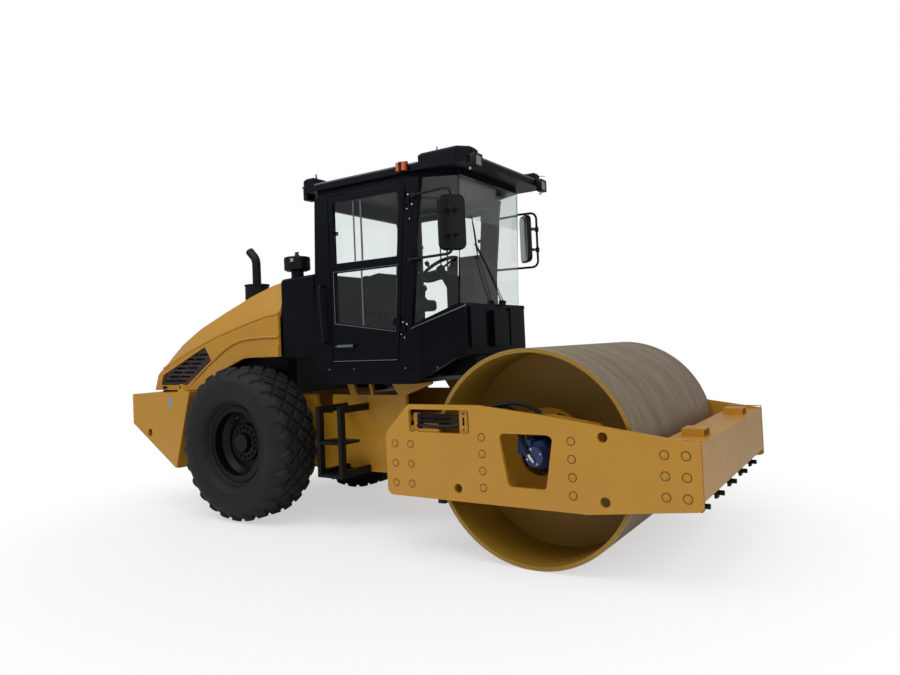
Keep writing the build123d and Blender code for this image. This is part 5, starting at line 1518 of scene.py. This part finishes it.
@dataclass
class RoofFittings:
    """Lamp housings, lifting eyes, indicator bands, aerial and rails of the roof.

    Attributes:
        shop: The paintshop.
        lamp_y: Inner and outer side of a lamp, from the centre plane.
        lamp_z: Lower and upper edge of a lamp.
        lamps: For the front and the rear lamps: x at the back, x of the lens.
        skin: Thickness of a housing round its lens.
        rail: Radius of the roof's rails.
        rail_top: Height of their middle line.
        rail_side: Distance of the side rails from the centre plane.
        ledge: Outline of the strip over a side panel's ledge.
        eyes: Feet of the right-hand lifting eyes.
    """

    shop: Paintshop
    lamp_y: Pair = (0.560, 0.670)
    lamp_z: Pair = (2.990, 3.090)
    lamps: tuple[Pair, ...] = ((1.216, 1.260), (-0.551, -0.590))
    skin: float = 0.004
    rail: float = 0.013
    rail_top: float = 3.089
    rail_side: float = 0.726
    ledge: tuple[Point, ...] = (
        (0.604, -0.724, 1.722),
        (0.690, -0.724, 1.750),
        (1.030, -0.560, 1.888),
        (1.040, -0.550, 1.892),
    )
    eyes: tuple[Point, ...] = ((-0.44, -0.66, 3.165), (0.90, -0.66, 3.165))

    def housing(self, back: float, lens: float) -> Blank:
        """Press a housing that leaves a lens window open, with its stalk.

        Args:
            back: x of the lamp's back.
            lens: x of its lens.

        Returns:
            The housing.
        """
        ahead = math.copysign(1.0, lens - back)
        front = lens + ahead * self.skin
        inner, outer = self.lamp_y
        foot, top = self.lamp_z
        low = (min(back, front), -outer - self.skin, foot - self.skin)
        high = (max(back, front), -inner + self.skin, top + self.skin)
        box = Blank.box("lamp_housings", low, high).rounded(X, 10 * MM, 3)
        box.windowed((ahead, 0.0, 0.0), 13 * MM).modify("SOLIDIFY", thickness=2 * MM, offset=1.0)
        x, y = (back + lens) / 2, -(inner + outer) / 2
        stalk = Blank.rod("stalk", (x, y, top + self.skin), (x, y, top + 0.020), 0.009, 12)
        return box.join([stalk.eased(1 * MM)])

    def build(self) -> None:
        """Fit the roof's small parts on both sides."""
        first, *others = [self.housing(*lamp) for lamp in self.lamps]
        first.join(others).paired().done(self.shop, Finish.PLASTIC)
        knob = Blank.rod("lamp_knobs", (1.205, -0.66, 2.985), (1.205, -0.66, 2.968), 0.011, 12)
        knob.pick("EDGE", lambda place, way: place.z < 2.97).bevelled(3 * MM, 2)
        knob.paired().done(self.shop, Finish.CHROME)
        self.lifting_eyes()
        self.rails()
        band = Blank.box("indicator_bands", (0.590, -0.783, 3.040), (0.618, -0.742, 3.114))
        foot = Blank.box("indicator_foot", (0.552, -0.748, 3.036), (0.658, -0.739, 3.118))
        band.join([foot]).rounded(Y, 3 * MM).paired().done(self.shop, Finish.PLASTIC)
        aerial = tube("aerial", [(1.10, 0.54, 3.150), (1.11, 0.75, 3.180), (1.12, 0.98, 3.216)], 0.003, 2)
        foot = Blank.rod("aerial_foot", (1.10, 0.56, 3.09), (1.10, 0.56, 3.165), 0.012, 12)
        aerial.join([foot.eased(2 * MM)]).done(self.shop, Finish.BLACK_STEEL)

    def rails(self) -> None:
        """Lay the pale rails along the roof's upper edges and over the side panels' ledges."""
        side = [(x, -self.rail_side, self.rail_top) for x in (-0.548, 0.740)]
        front = [(1.205, y, self.rail_top) for y in (-0.520, 0.520)]
        rail = tube("roof_rails", side, self.rail, 2, smooth=False).paired()
        ledge = Blank.plate("ledge_rails", self.ledge, (0.0, 0.014, 0.020)).paired()
        rail.join([ledge, tube("front_rail", front, self.rail, 2, smooth=False)]).done(self.shop, Finish.TRIM)

    def lifting_eyes(self) -> None:
        """Screw ring bolts into the roof over its four corners."""
        ring = Blank(
            "lifting_eyes",
            bpy.ops.mesh.primitive_torus_add,
            major_radius=0.017,
            minor_radius=0.005,
            major_segments=20,
            minor_segments=8,
            rotation=(0.0, math.pi / 2, 0.0),
            location=(0.0, 0.0, 0.024),
        )
        collar = Blank.rod("collar", (0.0, 0.0, -0.004), (0.0, 0.0, 0.007), 0.013, 16)
        collar.pick("EDGE", lambda place, way: place.z > 0.006).bevelled(2 * MM)
        ring.join([collar])
        ring.copies(Matrix.Translation(spot) @ Matrix.Rotation(0.6, 4, "Z") for spot in both(self.eyes))
        ring.done(self.shop, Finish.BLACK_STEEL, angle=60.0)


@dataclass
class MirrorGlass:
    """Silvered glass and clamp knuckles of the two side mirrors.

    Attributes:
        shop: The paintshop.
        middle: Middle of the right-hand head.
        toe: Angle by which the head is turned towards the seat, in degrees.
        half: Half width and half height of the glass.
        depth: Half depth of the head.
        rise: Distance between the two stays.
    """

    shop: Paintshop
    middle: Point = (1.025, -0.680, 2.565)
    toe: float = 45.0
    half: Pair = (0.100, 0.212)
    depth: float = 0.0225
    rise: float = 0.2

    def build(self) -> None:
        """Lay the glass into the heads and ring the knuckles round the tubes."""
        wide, high = self.half
        back = -self.depth
        turn = Matrix.Translation(self.middle) @ Matrix.Rotation(-math.radians(self.toe), 4, "Z")
        glass = Blank.box("mirror_glass", (back - 3.5 * MM, -wide, -high), (back, wide, high))
        glass.rounded(X, 38 * MM, 5).dished((-1.0, 0.0, 0.0), 3 * MM, 1 * MM)
        glass.copies([turn]).paired().done(self.shop, Finish.CHROME)
        knuckle = Blank.rod("mirror_knuckles", (1.09, -0.79, 2.442), (1.09, -0.79, 2.488), 0.019, 16)
        knuckle.pick("EDGE", lambda place, way: abs(way.z) < 0.1).bevelled(3 * MM)
        socket = Blank.rod("socket", (1.040, -0.695, 2.465), (1.052, -0.712, 2.465), 0.030, 16).eased(2 * MM)
        pair = knuckle.join([socket]).copies(Matrix.Translation((0.0, 0.0, up)) for up in (0.0, self.rise))
        pair.paired().done(self.shop, Finish.PLASTIC)


@dataclass
class Wiper:
    """Windscreen wiper with its paired arms, blade and motor cap.

    Attributes:
        shop: The paintshop.
        pivot: Place of the arms' pivot on the ledge.
        elbow: Place where the arms carry the blade.
        blade: Lower and upper end of the blade.
        apart: Step from one arm's pivot to the other's.
        bow: Height by which an arm and the blade's rail bow away from the screen.
    """

    shop: Paintshop
    pivot: Point = (1.042, 0.085, 1.935)
    elbow: Point = (1.012, -0.300, 2.430)
    blade: tuple[Point, Point] = ((1.013, -0.262, 2.310), (1.021, -0.350, 2.655))
    apart: Point = (0.0, 0.035, 0.012)
    bow: Pair = (0.012, 0.008)

    def build(self) -> None:
        """Bend the arms, the blade and the motor cap."""
        pivot, elbow, apart = Vector(self.pivot), Vector(self.elbow), Vector(self.apart)
        arm_bow, rail_bow = (Vector((bow, 0.0, 0.0)) for bow in self.bow)
        half_way = pivot.lerp(elbow, 0.5)
        arms = tube("wiper", [pivot, half_way + arm_bow, elbow], 0.0055, 2)
        twin = tube("wiper_twin", [pivot + apart, half_way + apart, elbow + apart * 0.5], 0.004, 2)
        low, high = (Vector(end) for end in self.blade)
        over = (high - low).normalized() * 0.01
        rail = tube("wiper_rail", [low, (low + high) / 2 + rail_bow, high], 0.005, 2)
        rubber = Blank.rod("wiper_rubber", low - over, high + over, 0.004, 8).eased(0.8 * MM)
        cap = Blank.rod("wiper_cap", (1.035, 0.10, 1.905), (1.046, 0.10, 1.955), 0.032, 24)
        cap.pick("EDGE", lambda place, way: place.z > 1.94).bevelled(8 * MM, 3)
        arms.join([twin, rail, rubber, cap]).done(self.shop, Finish.PLASTIC)


# ---------------------------------------------------------------- hood and tail
@dataclass
class HoodDetails:
    """Pressed beads, a dark plate of painted shade behind the grille, latches and the silencer's bands on the
    tipping hood.

    Attributes:
        shop: The paintshop.
        crease: x and z of the bead along the hood's crease.
        arch: x and z of the bead round the wheel arch.
        grille: Corners of the grille's opening.
        skin: Distance of the hood's side from the centre plane.
        backing: Distance of the dark plate behind the grille from the centre plane; the plate is painted
            shade of the engine bay behind the slots.
        liner: Two corners of the liner beside the engine.
        pipe_x: x of the silencer's axis.
        band: Profile of the silencer's band: radius and height.
        clamp: Profile of the tailpipe's clamp.
        screw_z: Height of the clamp's screw.
    """

    shop: Paintshop
    crease: tuple[Pair, ...] = (
        (-0.930, 1.945),
        (-1.150, 1.918),
        (-1.460, 1.851),
        (-1.880, 1.744),
        (-2.260, 1.620),
        (-2.540, 1.512),
        (-2.710, 1.444),
    )
    arch: tuple[Pair, ...] = (
        (-0.930, 1.722),
        (-1.250, 1.722),
        (-1.480, 1.700),
        (-1.700, 1.620),
        (-1.900, 1.500),
        (-2.120, 1.360),
        (-2.290, 1.225),
    )
    grille: tuple[Pair, ...] = (
        (-2.010, 1.655),
        (-1.915, 1.515),
        (-2.310, 1.268),
        (-2.755, 1.270),
        (-2.715, 1.368),
    )
    skin: float = 0.735
    backing: float = 0.680
    liner: tuple[Point, Point] = ((-2.60, -0.530, 1.235), (-1.02, -0.524, 1.580))
    pipe_x: float = -1.670
    band: tuple[Pair, ...] = ((0.1245, 2.150), (0.1275, 2.153), (0.1275, 2.177), (0.1245, 2.180))
    clamp: tuple[Pair, ...] = ((0.038, 2.268), (0.049, 2.270), (0.049, 2.296), (0.038, 2.298))
    screw_z: float = 2.283

    def build(self) -> None:
        """Add the hood's small parts on both sides."""
        bead = tube("hood_beads", [(x, -self.skin + 0.013, z) for x, z in self.crease], 0.017, 3)
        bead.join([tube("hood_bead", [(x, -self.skin - 0.004, z) for x, z in self.arch], 0.014, 3)])
        bead.paired().done(self.shop, Finish.ENAMEL, HOOD, angle=60.0)
        # The dark plate behind the grille is painted shade: it stands in for the shaded engine bay seen
        # through the slots.
        corners = [(x, -self.backing, z) for x, z in self.grille]
        backing = Blank.plate("grille_shade_plate", corners, (0.0, 0.004, 0.0))
        liner = Blank.box("liner", *self.liner).eased(1 * MM)
        liner.pick("VERT", lambda place, way: place.x < -2.0 and place.z > 1.5).moved((0.0, 0.0, -0.18))
        backing.join([liner]).paired().done(self.shop, Finish.PLASTIC, HOOD)
        latch = Blank.box("hood_latches", (-2.700, -0.758, 1.232), (-2.655, -0.736, 1.252))
        hook = Blank.box("hook", (-2.690, -0.766, 1.226), (-2.665, -0.752, 1.258))
        latch.join([hook]).rounded(X, 3 * MM, 2).paired().done(self.shop, Finish.PLASTIC, HOOD)
        self.silencer()

    def silencer(self) -> None:
        """Ring the silencer and its tailpipe with their bands."""
        low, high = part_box("exhaust")
        x, y, z = self.pipe_x, (low.y + high.y) / 2, self.screw_z
        band = Blank.turned("exhaust_bands", lathe(x, y, self.band), (x, y, 0.0), steps=32)
        clamp = Blank.turned("clamp", lathe(x, y, self.clamp), (x, y, 0.0), steps=24)
        screw = Blank.rod("clamp_screw", (x - 0.03, y - 0.055, z), (x + 0.03, y - 0.055, z), 0.006, 10)
        band.join([clamp, screw.eased(1 * MM)]).done(self.shop, Finish.BLACK_STEEL, HOOD)


@dataclass
class TailDetails:
    """Blank plates, dark strips of painted shade in the gap between the hood's tail and the ballast, lamp
    bezels, ladder teeth and the rain cap's fittings.

    Attributes:
        shop: The paintshop.
        lamps: Inner and outer side of each tail lamp, from the centre plane.
        lip: Width by which a bezel reaches past its lamp.
        steps: For each ladder step: its height and where its teeth end inwards.
        teeth_y: Distances of the teeth's rows from the centre plane.
        teeth: Number of teeth in a row and their spacing.
    """

    shop: Paintshop
    lamps: tuple[Pair, ...] = ((0.650, 0.730), (0.740, 0.850))
    lip: float = 0.006
    steps: tuple[Pair, ...] = ((0.475, 0.62), (0.765, 0.70))
    teeth_y: tuple[float, ...] = (0.835, 0.805, 0.775, 0.745)
    teeth: tuple[int, float] = (9, 0.030)

    def build(self) -> None:
        """Add the parts of the tractor's tail, ladders and air intake."""
        plate = Blank.box("blank_plates", (-2.349, -0.9525, 1.045), (-2.284, -0.950, 1.157))
        plate.rounded(Y, 5 * MM, 2).paired().done(self.shop, Finish.CHROME)
        # The dark rubber strips are painted shade: they fill the shaded gap between the hood's tail and the
        # ballast.
        seal = Blank.box("hood_gap_shade", (-2.830, -0.660, 1.165), (-2.080, -0.640, 1.2045))
        seal.eased(3 * MM).paired()
        across = Blank.box("seal_across", (-2.840, -0.660, 1.165), (-2.815, 0.660, 1.2035)).eased(3 * MM)
        seal.join([across]).done(self.shop, Finish.BUFFER)
        self.tail_lamps()
        self.ladder_treads()
        self.rain_cap()

    def tail_lamps(self) -> None:
        """Frame the tail lamps with black bezels."""
        bezels = []
        for inner, outer in self.lamps:
            low, high = (-2.966, -outer - self.lip, 1.024), (-2.9595, -inner + self.lip, 1.116)
            bezels.append(Blank.box("tail_bezels", low, high).windowed((-1.0, 0.0, 0.0), 13 * MM))
        bezels[0].join(bezels[1:]).modify("SOLIDIFY", thickness=1.5 * MM, offset=1.0)
        bezels[0].paired().done(self.shop, Finish.PLASTIC)

    def ladder_treads(self) -> None:
        """Stand small cupped teeth on the ladders' steps so that a boot holds."""
        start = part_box("ladders")[0].x + 0.025
        count, pitch = self.teeth
        tooth = Blank.rod("ladder_teeth", (0.0, 0.0, 0.0), (0.0, 0.0, 0.007), 0.009, 8)
        tooth.dished((0.0, 0.0, 1.0), 3 * MM, -3 * MM)
        spots = [
            (start + pitch * k, -y, z)
            for z, inner in self.steps
            for k in range(count)
            for y in self.teeth_y
            if y > inner
        ]
        tooth.copies(Matrix.Translation(spot) for spot in both(spots)).done(self.shop, Finish.BLACK_STEEL)

    def rain_cap(self) -> None:
        """Put the wing nut, the latch and two pressed ribs on the intake's rain cap."""
        low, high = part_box("precleaner")
        x, y, top = (low.x + high.x) / 2, (low.y + high.y) / 2, high.z
        radius = (high.x - low.x) / 2
        nut = Blank.rod("cap_nut", (x, y, top - 0.004), (x, y, top + 0.014), 0.012, 10).eased(1.5 * MM)
        wing = Blank.box("wing", (x - 0.026, y - 0.004, top + 0.006), (x + 0.026, y + 0.004, top + 0.024))
        ribs = []
        for z in (top - 0.13, top - 0.06):
            steps = ((radius - 0.001, z), (radius + 0.003, z + 0.004), (radius - 0.001, z + 0.008))
            ribs.append(Blank.turned("rib", lathe(x, y, steps), (x, y, 0.0), steps=40))
        nut.join([wing.rounded(Y, 6 * MM, 2), *ribs]).done(self.shop, Finish.PLASTIC, angle=50.0)
        front, back = y - radius - 0.004, y - radius + 0.03
        latch = Blank.box("cap_latch", (x + 0.035, front, top - 0.085), (x + 0.068, back, top - 0.055))
        latch.rounded(X, 4 * MM, 2).done(self.shop, Finish.CHROME)


# ---------------------------------------------------------------- cab, inside
@dataclass
class DriverPlace:
    """Padded seat, armrest with its lever, spinner knob, gauges and pedals.

    Attributes:
        shop: The paintshop.
        seat_x: Rear edge of the seat's cushion.
        seat_z: Underside of the cushion.
        lean: Angle by which the back is turned up from the cushion, in degrees.
        lever: Foot of the lever on the armrest's pod.
        boot: Profile of the lever's boot: radius and height.
        wheel: Middle of the steering wheel.
        wheel_way: Way in which the wheel's shaft points.
        wheel_radius: Distance of the spinner knob from the shaft.
        dial: Profile of a gauge: radius and height.
        dials: Places of the gauges.
        pedal: Outline of a pedal.
    """

    shop: Paintshop
    seat_x: float = -0.200
    seat_z: float = 1.650
    lean: float = 99.8
    lever: Point = (0.450, -0.272, 1.980)
    boot: tuple[Pair, ...] = ((0.034, 1.984), (0.028, 1.998), (0.024, 1.996), (0.017, 2.012), (0.009, 2.012))
    wheel: Point = (0.468, 0.0, 2.280)
    wheel_way: Point = (-0.5, 0.0, 0.866)
    wheel_radius: float = 0.190
    dial: tuple[Pair, ...] = ((0.0, 0.003), (0.030, 0.003), (0.034, 0.010), (0.040, 0.010), (0.042, -0.002))
    dials: tuple[Point, ...] = ((0.670, -0.110, 2.110), (0.670, 0.0, 2.140), (0.670, 0.110, 2.110))
    pedal: tuple[Point, ...] = (
        (0.560, -0.150, 1.320),
        (0.640, -0.150, 1.420),
        (0.646, -0.150, 1.414),
        (0.568, -0.150, 1.314),
    )

    def pad(self, name: str, low: Sequence[float], high: Sequence[float], crown: float) -> Blank:
        """Shape a pad: a rounded block with a crowned face and smooth edges.

        Args:
            name: Name of the piece.
            low: Lower corner.
            high: Upper corner.
            crown: Height by which the middle of the upper face rises.

        Returns:
            The pad.
        """
        block = Blank.box(name, low, high)
        block.pick("FACE").then(bpy.ops.mesh.subdivide, number_cuts=5)
        middle, reach = (Vector(low) + Vector(high)) / 2, 0.42 * (Vector(high) - Vector(low))
        block.pick(
            "VERT",
            lambda place, way: place.z > high[2] - 1 * MM
            and abs(place.x - middle.x) < reach.x
            and abs(place.y - middle.y) < reach.y,
        )
        return block.moved((0.0, 0.0, crown)).modify("SUBSURF", levels=2, render_levels=2)

    def build(self) -> None:
        """Furnish the driver's place."""
        x, z = self.seat_x, self.seat_z
        cushion = self.pad("seat_pads", (x - 0.008, -0.256, z + 0.06), (x + 0.512, 0.256, z + 0.135), 0.016)
        back = self.pad("back_pad", (0.0, -0.232, -0.085), (0.505, 0.232, 0.012), 0.014)
        turn = Matrix.Rotation(-math.radians(self.lean), 4, "Y")
        back.copies([Matrix.Translation((x + 0.090, 0.0, z + 0.130)) @ turn])
        cushion.join([back]).done(self.shop, Finish.FABRIC, angle=60.0)
        self.armrest()
        self.wheel_knob()
        self.gauges()

    def armrest(self) -> None:
        """Put up the armrest's pod with the travel lever, its knob and its boot."""
        pod = Blank.box("arm_pod", (0.030, -0.330, 1.885), (0.545, -0.215, 1.985)).rounded(Y, 35 * MM, 4)
        stay = Blank.box("pod_stay", (0.050, -0.290, 1.760), (0.090, -0.240, 1.900)).eased(5 * MM)
        foot = Vector(self.lever)
        grip = Blank.rod("lever", foot, foot + Vector((0.012, 0.0, 0.095)), 0.008, 12).eased(1.5 * MM)
        ball = foot + Vector((0.014, 0.0, 0.11))
        add = bpy.ops.mesh.primitive_uv_sphere_add
        knob = Blank("knob", add, segments=16, ring_count=10, radius=0.022, location=ball)
        knob.pick("VERT", lambda place, way: place.z > ball.z)
        knob.then(bpy.ops.transform.resize, value=(0.85, 0.85, 1.5), center_override=ball)
        boot = Blank.turned("boot", lathe(foot.x, foot.y, self.boot), (foot.x, foot.y, 0.0), steps=20)
        pod.join([stay, grip, knob, boot]).done(self.shop, Finish.PLASTIC)

    def wheel_knob(self) -> None:
        """Put the spinner knob on the steering wheel's rim and a cap on its hub."""
        hub, up = Vector(self.wheel), Vector(self.wheel_way)
        rim = hub - Vector((0.0, self.wheel_radius, 0.0)) + up * 0.012
        stem = Blank.rod("spinner", rim, rim + up * 0.022, 0.009, 12).eased(1 * MM)
        ball = Blank.rod("ball", rim + up * 0.018, rim + up * 0.056, 0.021, 16).eased(6 * MM, 2)
        cap = Blank.rod("cap", hub + up * 0.014, hub + up * 0.03, 0.036, 24)
        cap.pick("EDGE", lambda place, way: (place - hub).dot(up) > 0.028).bevelled(5 * MM, 2)
        stem.join([ball, cap]).done(self.shop, Finish.PLASTIC)

    def gauges(self) -> None:
        """Set three round gauges in the console's face and two pedals under it."""
        gauge = Blank.turned("gauges", lathe(0.0, 0.0, self.dial))
        gauge.copies(facing(spot, (-1.0, 0.0, 0.0)) for spot in self.dials).done(self.shop, Finish.TRIM)
        pedal = Blank.plate("pedals", self.pedal, (0.0, 0.075, 0.0)).rounded(Y, 2 * MM)
        stem = Blank.rod("pedal_stem", (0.606, -0.112, 1.360), (0.672, -0.112, 1.330), 0.009, 10)
        pedal.join([stem.eased(1.5 * MM)]).paired().done(self.shop, Finish.BUFFER)


@dataclass
class Drum:
    """Sizes of the drum, read from its node.

    Attributes:
        axle: A point on the drum's axle.
        inner_radius: Radius up to which the drum is painted.
    """

    axle: Point
    inner_radius: float

    @classmethod
    def from_frame(cls) -> "Drum":
        """Read the drum's axle and radius from the frame."""
        low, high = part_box("drum_shell")
        return cls(tuple((low + high) / 2), (high.z - low.z) / 2 - 3 * MM)


def assemblies(shop: Paintshop, drum: Drum) -> list[Any]:
    """List the sub-assemblies in the order in which they are built.

    Args:
        shop: The paintshop.
        drum: The drum's sizes.

    Returns:
        The sub-assemblies.
    """
    sides = ((-1, "right"), (1, "left"))
    wheels = []
    for side, name in sides:
        wheels.append(Tyre(shop, f"tyre_{name}", f"wheel_{name}"))
        wheels.append(WheelHub(shop, side, f"wheel_{name}", f"rim_{name}"))
    return [
        *wheels,
        SidePlates(shop),
        DrumDrive(shop, drum.axle),
        HoseGuards(shop),
        FrontBeam(shop),
        *(DoorFittings(shop, side, name) for side, name in sides),
        CabBolts(shop),
        RoofFittings(shop),
        MirrorGlass(shop),
        Wiper(shop),
        HoodDetails(shop),
        TailDetails(shop),
        DriverPlace(shop),
    ]


# ---------------------------------------------------------------- studio
@dataclass
class Studio:
    """Floor, light and camera.

    Attributes:
        lens: Focal length in millimetres.
        sensor: Width of the sensor in millimetres.
        place: Place of the camera.
        yaw: Turn of the view to the left of +Y, in radians.
        pitch: Rise of the view, in radians.
        roll: Tilt about the view, in radians.
        shift: Shift of the view across and up, as shares of its width.
        pool: Distances from the middle between which the floor fades to white.
        haze: Share of white in the floor under the machine.
        lamp_aim: Point at which the lamps look.
        lamp_table: Place, size and watts of each lamp.
        daylight: Strength of the even light all round.
    """

    lens: float = 28.03
    sensor: float = 36.0
    place: Point = (3.9707, -5.4846, 1.5896)
    yaw: float = 0.5898
    pitch: float = 0.0285
    roll: float = -0.0422
    shift: Pair = (0.0241, -0.0147)
    pool: Pair = (1.6, 4.4)
    haze: float = 0.55
    lamp_aim: Point = (0.0, 0.0, 1.0)
    lamp_table: tuple[tuple[Point, float, float], ...] = (
        ((0.5, -3.0, 9.0), 8.0, 360.0),
        ((8.0, -5.0, 5.0), 5.0, 115.0),
        ((-5.5, -7.0, 8.5), 5.0, 250.0),
    )
    daylight: float = 0.34

    @staticmethod
    def in_view(tree: bpy.types.NodeTree) -> bpy.types.NodeSocket:
        """Tell what is seen, straight or through glass, from what only lights the machine.

        Args:
            tree: Node tree that asks.

        Returns:
            An output that is 1 where the background is seen and 0 where it lights.
        """
        ray = add_node(tree, "ShaderNodeLightPath")
        seen = add_node(
            tree,
            "ShaderNodeMath",
            {".operation": "MAXIMUM"},
            {0: ray.outputs["Is Camera Ray"], 1: ray.outputs["Is Transmission Ray"]},
        )
        bounces = add_node(
            tree,
            "ShaderNodeMath",
            {".operation": "ADD"},
            {0: ray.outputs["Diffuse Depth"], 1: ray.outputs["Glossy Depth"]},
        )
        none = {".operation": "LESS_THAN", 1: 0.5}
        straight = add_node(tree, "ShaderNodeMath", none, {0: bounces.outputs[0]})
        both_true = {0: seen.outputs[0], 1: straight.outputs[0]}
        return add_node(tree, "ShaderNodeMath", {".operation": "MULTIPLY"}, both_true).outputs[0]

    def floor(self) -> bpy.types.Object:
        """Lay the pale floor.

        Returns:
            The floor's object.
        """
        bpy.ops.mesh.primitive_plane_add(size=120.0, location=(0.0, 0.0, 0.0))
        floor = bpy.context.active_object
        floor.name = "studio_floor"
        made, tree = blank_material("studio_floor")
        place = add_node(tree, "ShaderNodeTexCoord").outputs["Object"]
        away = add_node(tree, "ShaderNodeVectorMath", {".operation": "LENGTH"}, {0: place})
        far = add_node(
            tree,
            "ShaderNodeMapRange",
            {
                ".interpolation_type": "SMOOTHSTEP",
                "From Min": self.pool[0],
                "From Max": self.pool[1],
                "To Min": self.haze,
            },
            {"Value": away.outputs["Value"]},
        )
        paint = add_node(tree, "ShaderNodeBsdfDiffuse", {"Color": linear("F4F4F4")})
        white = add_node(tree, "ShaderNodeEmission", {"Color": (1.0, 1.0, 1.0, 1.0), "Strength": 1.0})
        faded = {0: far.outputs["Result"], 1: self.in_view(tree)}
        share = add_node(tree, "ShaderNodeMath", {".operation": "MULTIPLY"}, faded)
        both_kinds = add_node(
            tree,
            "ShaderNodeMixShader",
            {},
            {0: share.outputs[0], 1: paint.outputs["BSDF"], 2: white.outputs["Emission"]},
        )
        add_node(tree, "ShaderNodeOutputMaterial", {}, {"Surface": both_kinds.outputs["Shader"]})
        floor.data.materials.append(made)
        return floor

    def sky(self) -> None:
        """Light the scene evenly, with a white background for the camera and for reflections."""
        world = bpy.data.worlds.new("studio")
        bpy.context.scene.world = world
        world.use_nodes = True
        tree = world.node_tree
        tree.nodes.clear()
        ends = {"To Min": self.daylight, "To Max": 1.0}
        strength = add_node(tree, "ShaderNodeMapRange", ends, {"Value": self.in_view(tree)})
        light = add_node(
            tree,
            "ShaderNodeBackground",
            {"Color": (1.0, 1.0, 1.0, 1.0)},
            {"Strength": strength.outputs["Result"]},
        )
        add_node(tree, "ShaderNodeOutputWorld", {}, {"Surface": light.outputs["Background"]})

    def lamps(self) -> None:
        """Hang three broad soft lamps: one overhead, one from the front left and one from the right."""
        for place, size, watts in self.lamp_table:
            bpy.ops.object.light_add(type="AREA", location=place)
            lamp = bpy.context.active_object
            lamp.data.size = size
            lamp.data.energy = watts
            lamp.rotation_mode = "QUATERNION"
            lamp.rotation_quaternion = (Vector(self.lamp_aim) - Vector(place)).to_track_quat("-Z", "Y")

    def camera(self) -> None:
        """Set the camera at the driver's-eye height beside the drum."""
        forward = Vector(
            (
                -math.sin(self.yaw) * math.cos(self.pitch),
                math.cos(self.yaw) * math.cos(self.pitch),
                math.sin(self.pitch),
            )
        )
        right = forward.cross(Vector((0.0, 0.0, 1.0))).normalized()
        above = right.cross(forward)
        turned_right = math.cos(self.roll) * right + math.sin(self.roll) * above
        turned_above = -math.sin(self.roll) * right + math.cos(self.roll) * above
        axes = Matrix((turned_right, turned_above, -forward)).transposed()
        bpy.ops.object.camera_add(location=self.place)
        camera = bpy.context.active_object
        camera.rotation_mode = "QUATERNION"
        camera.rotation_quaternion = axes.to_quaternion()
        camera.data.sensor_width = self.sensor
        camera.data.lens = self.lens
        camera.data.shift_x, camera.data.shift_y = self.shift
        camera.data.clip_start, camera.data.clip_end = 0.05, 200.0
        bpy.context.scene.camera = camera

    def build(self) -> None:
        """Set up the whole studio."""
        bpy.context.scene.view_settings.view_transform = "Standard"
        self.floor()
        self.sky()
        self.lamps()
        self.camera()
        LOG.info("studio ready")


def main() -> None:
    """Dress the frame, build the small parts and set up the studio."""
    logging.basicConfig(level=logging.INFO, format="%(message)s")
    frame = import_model()
    nodes, record = frame["nodes"], frame["record"]
    drum = Drum.from_frame()
    shop = Paintshop(drum.axle, drum.inner_radius)
    shop.dress_frame(nodes, record)
    for assembly in assemblies(shop, drum):
        assembly.build()
        LOG.info("built %s", type(assembly).__name__)
    Studio().build()


if __name__ == "__main__":
    main()
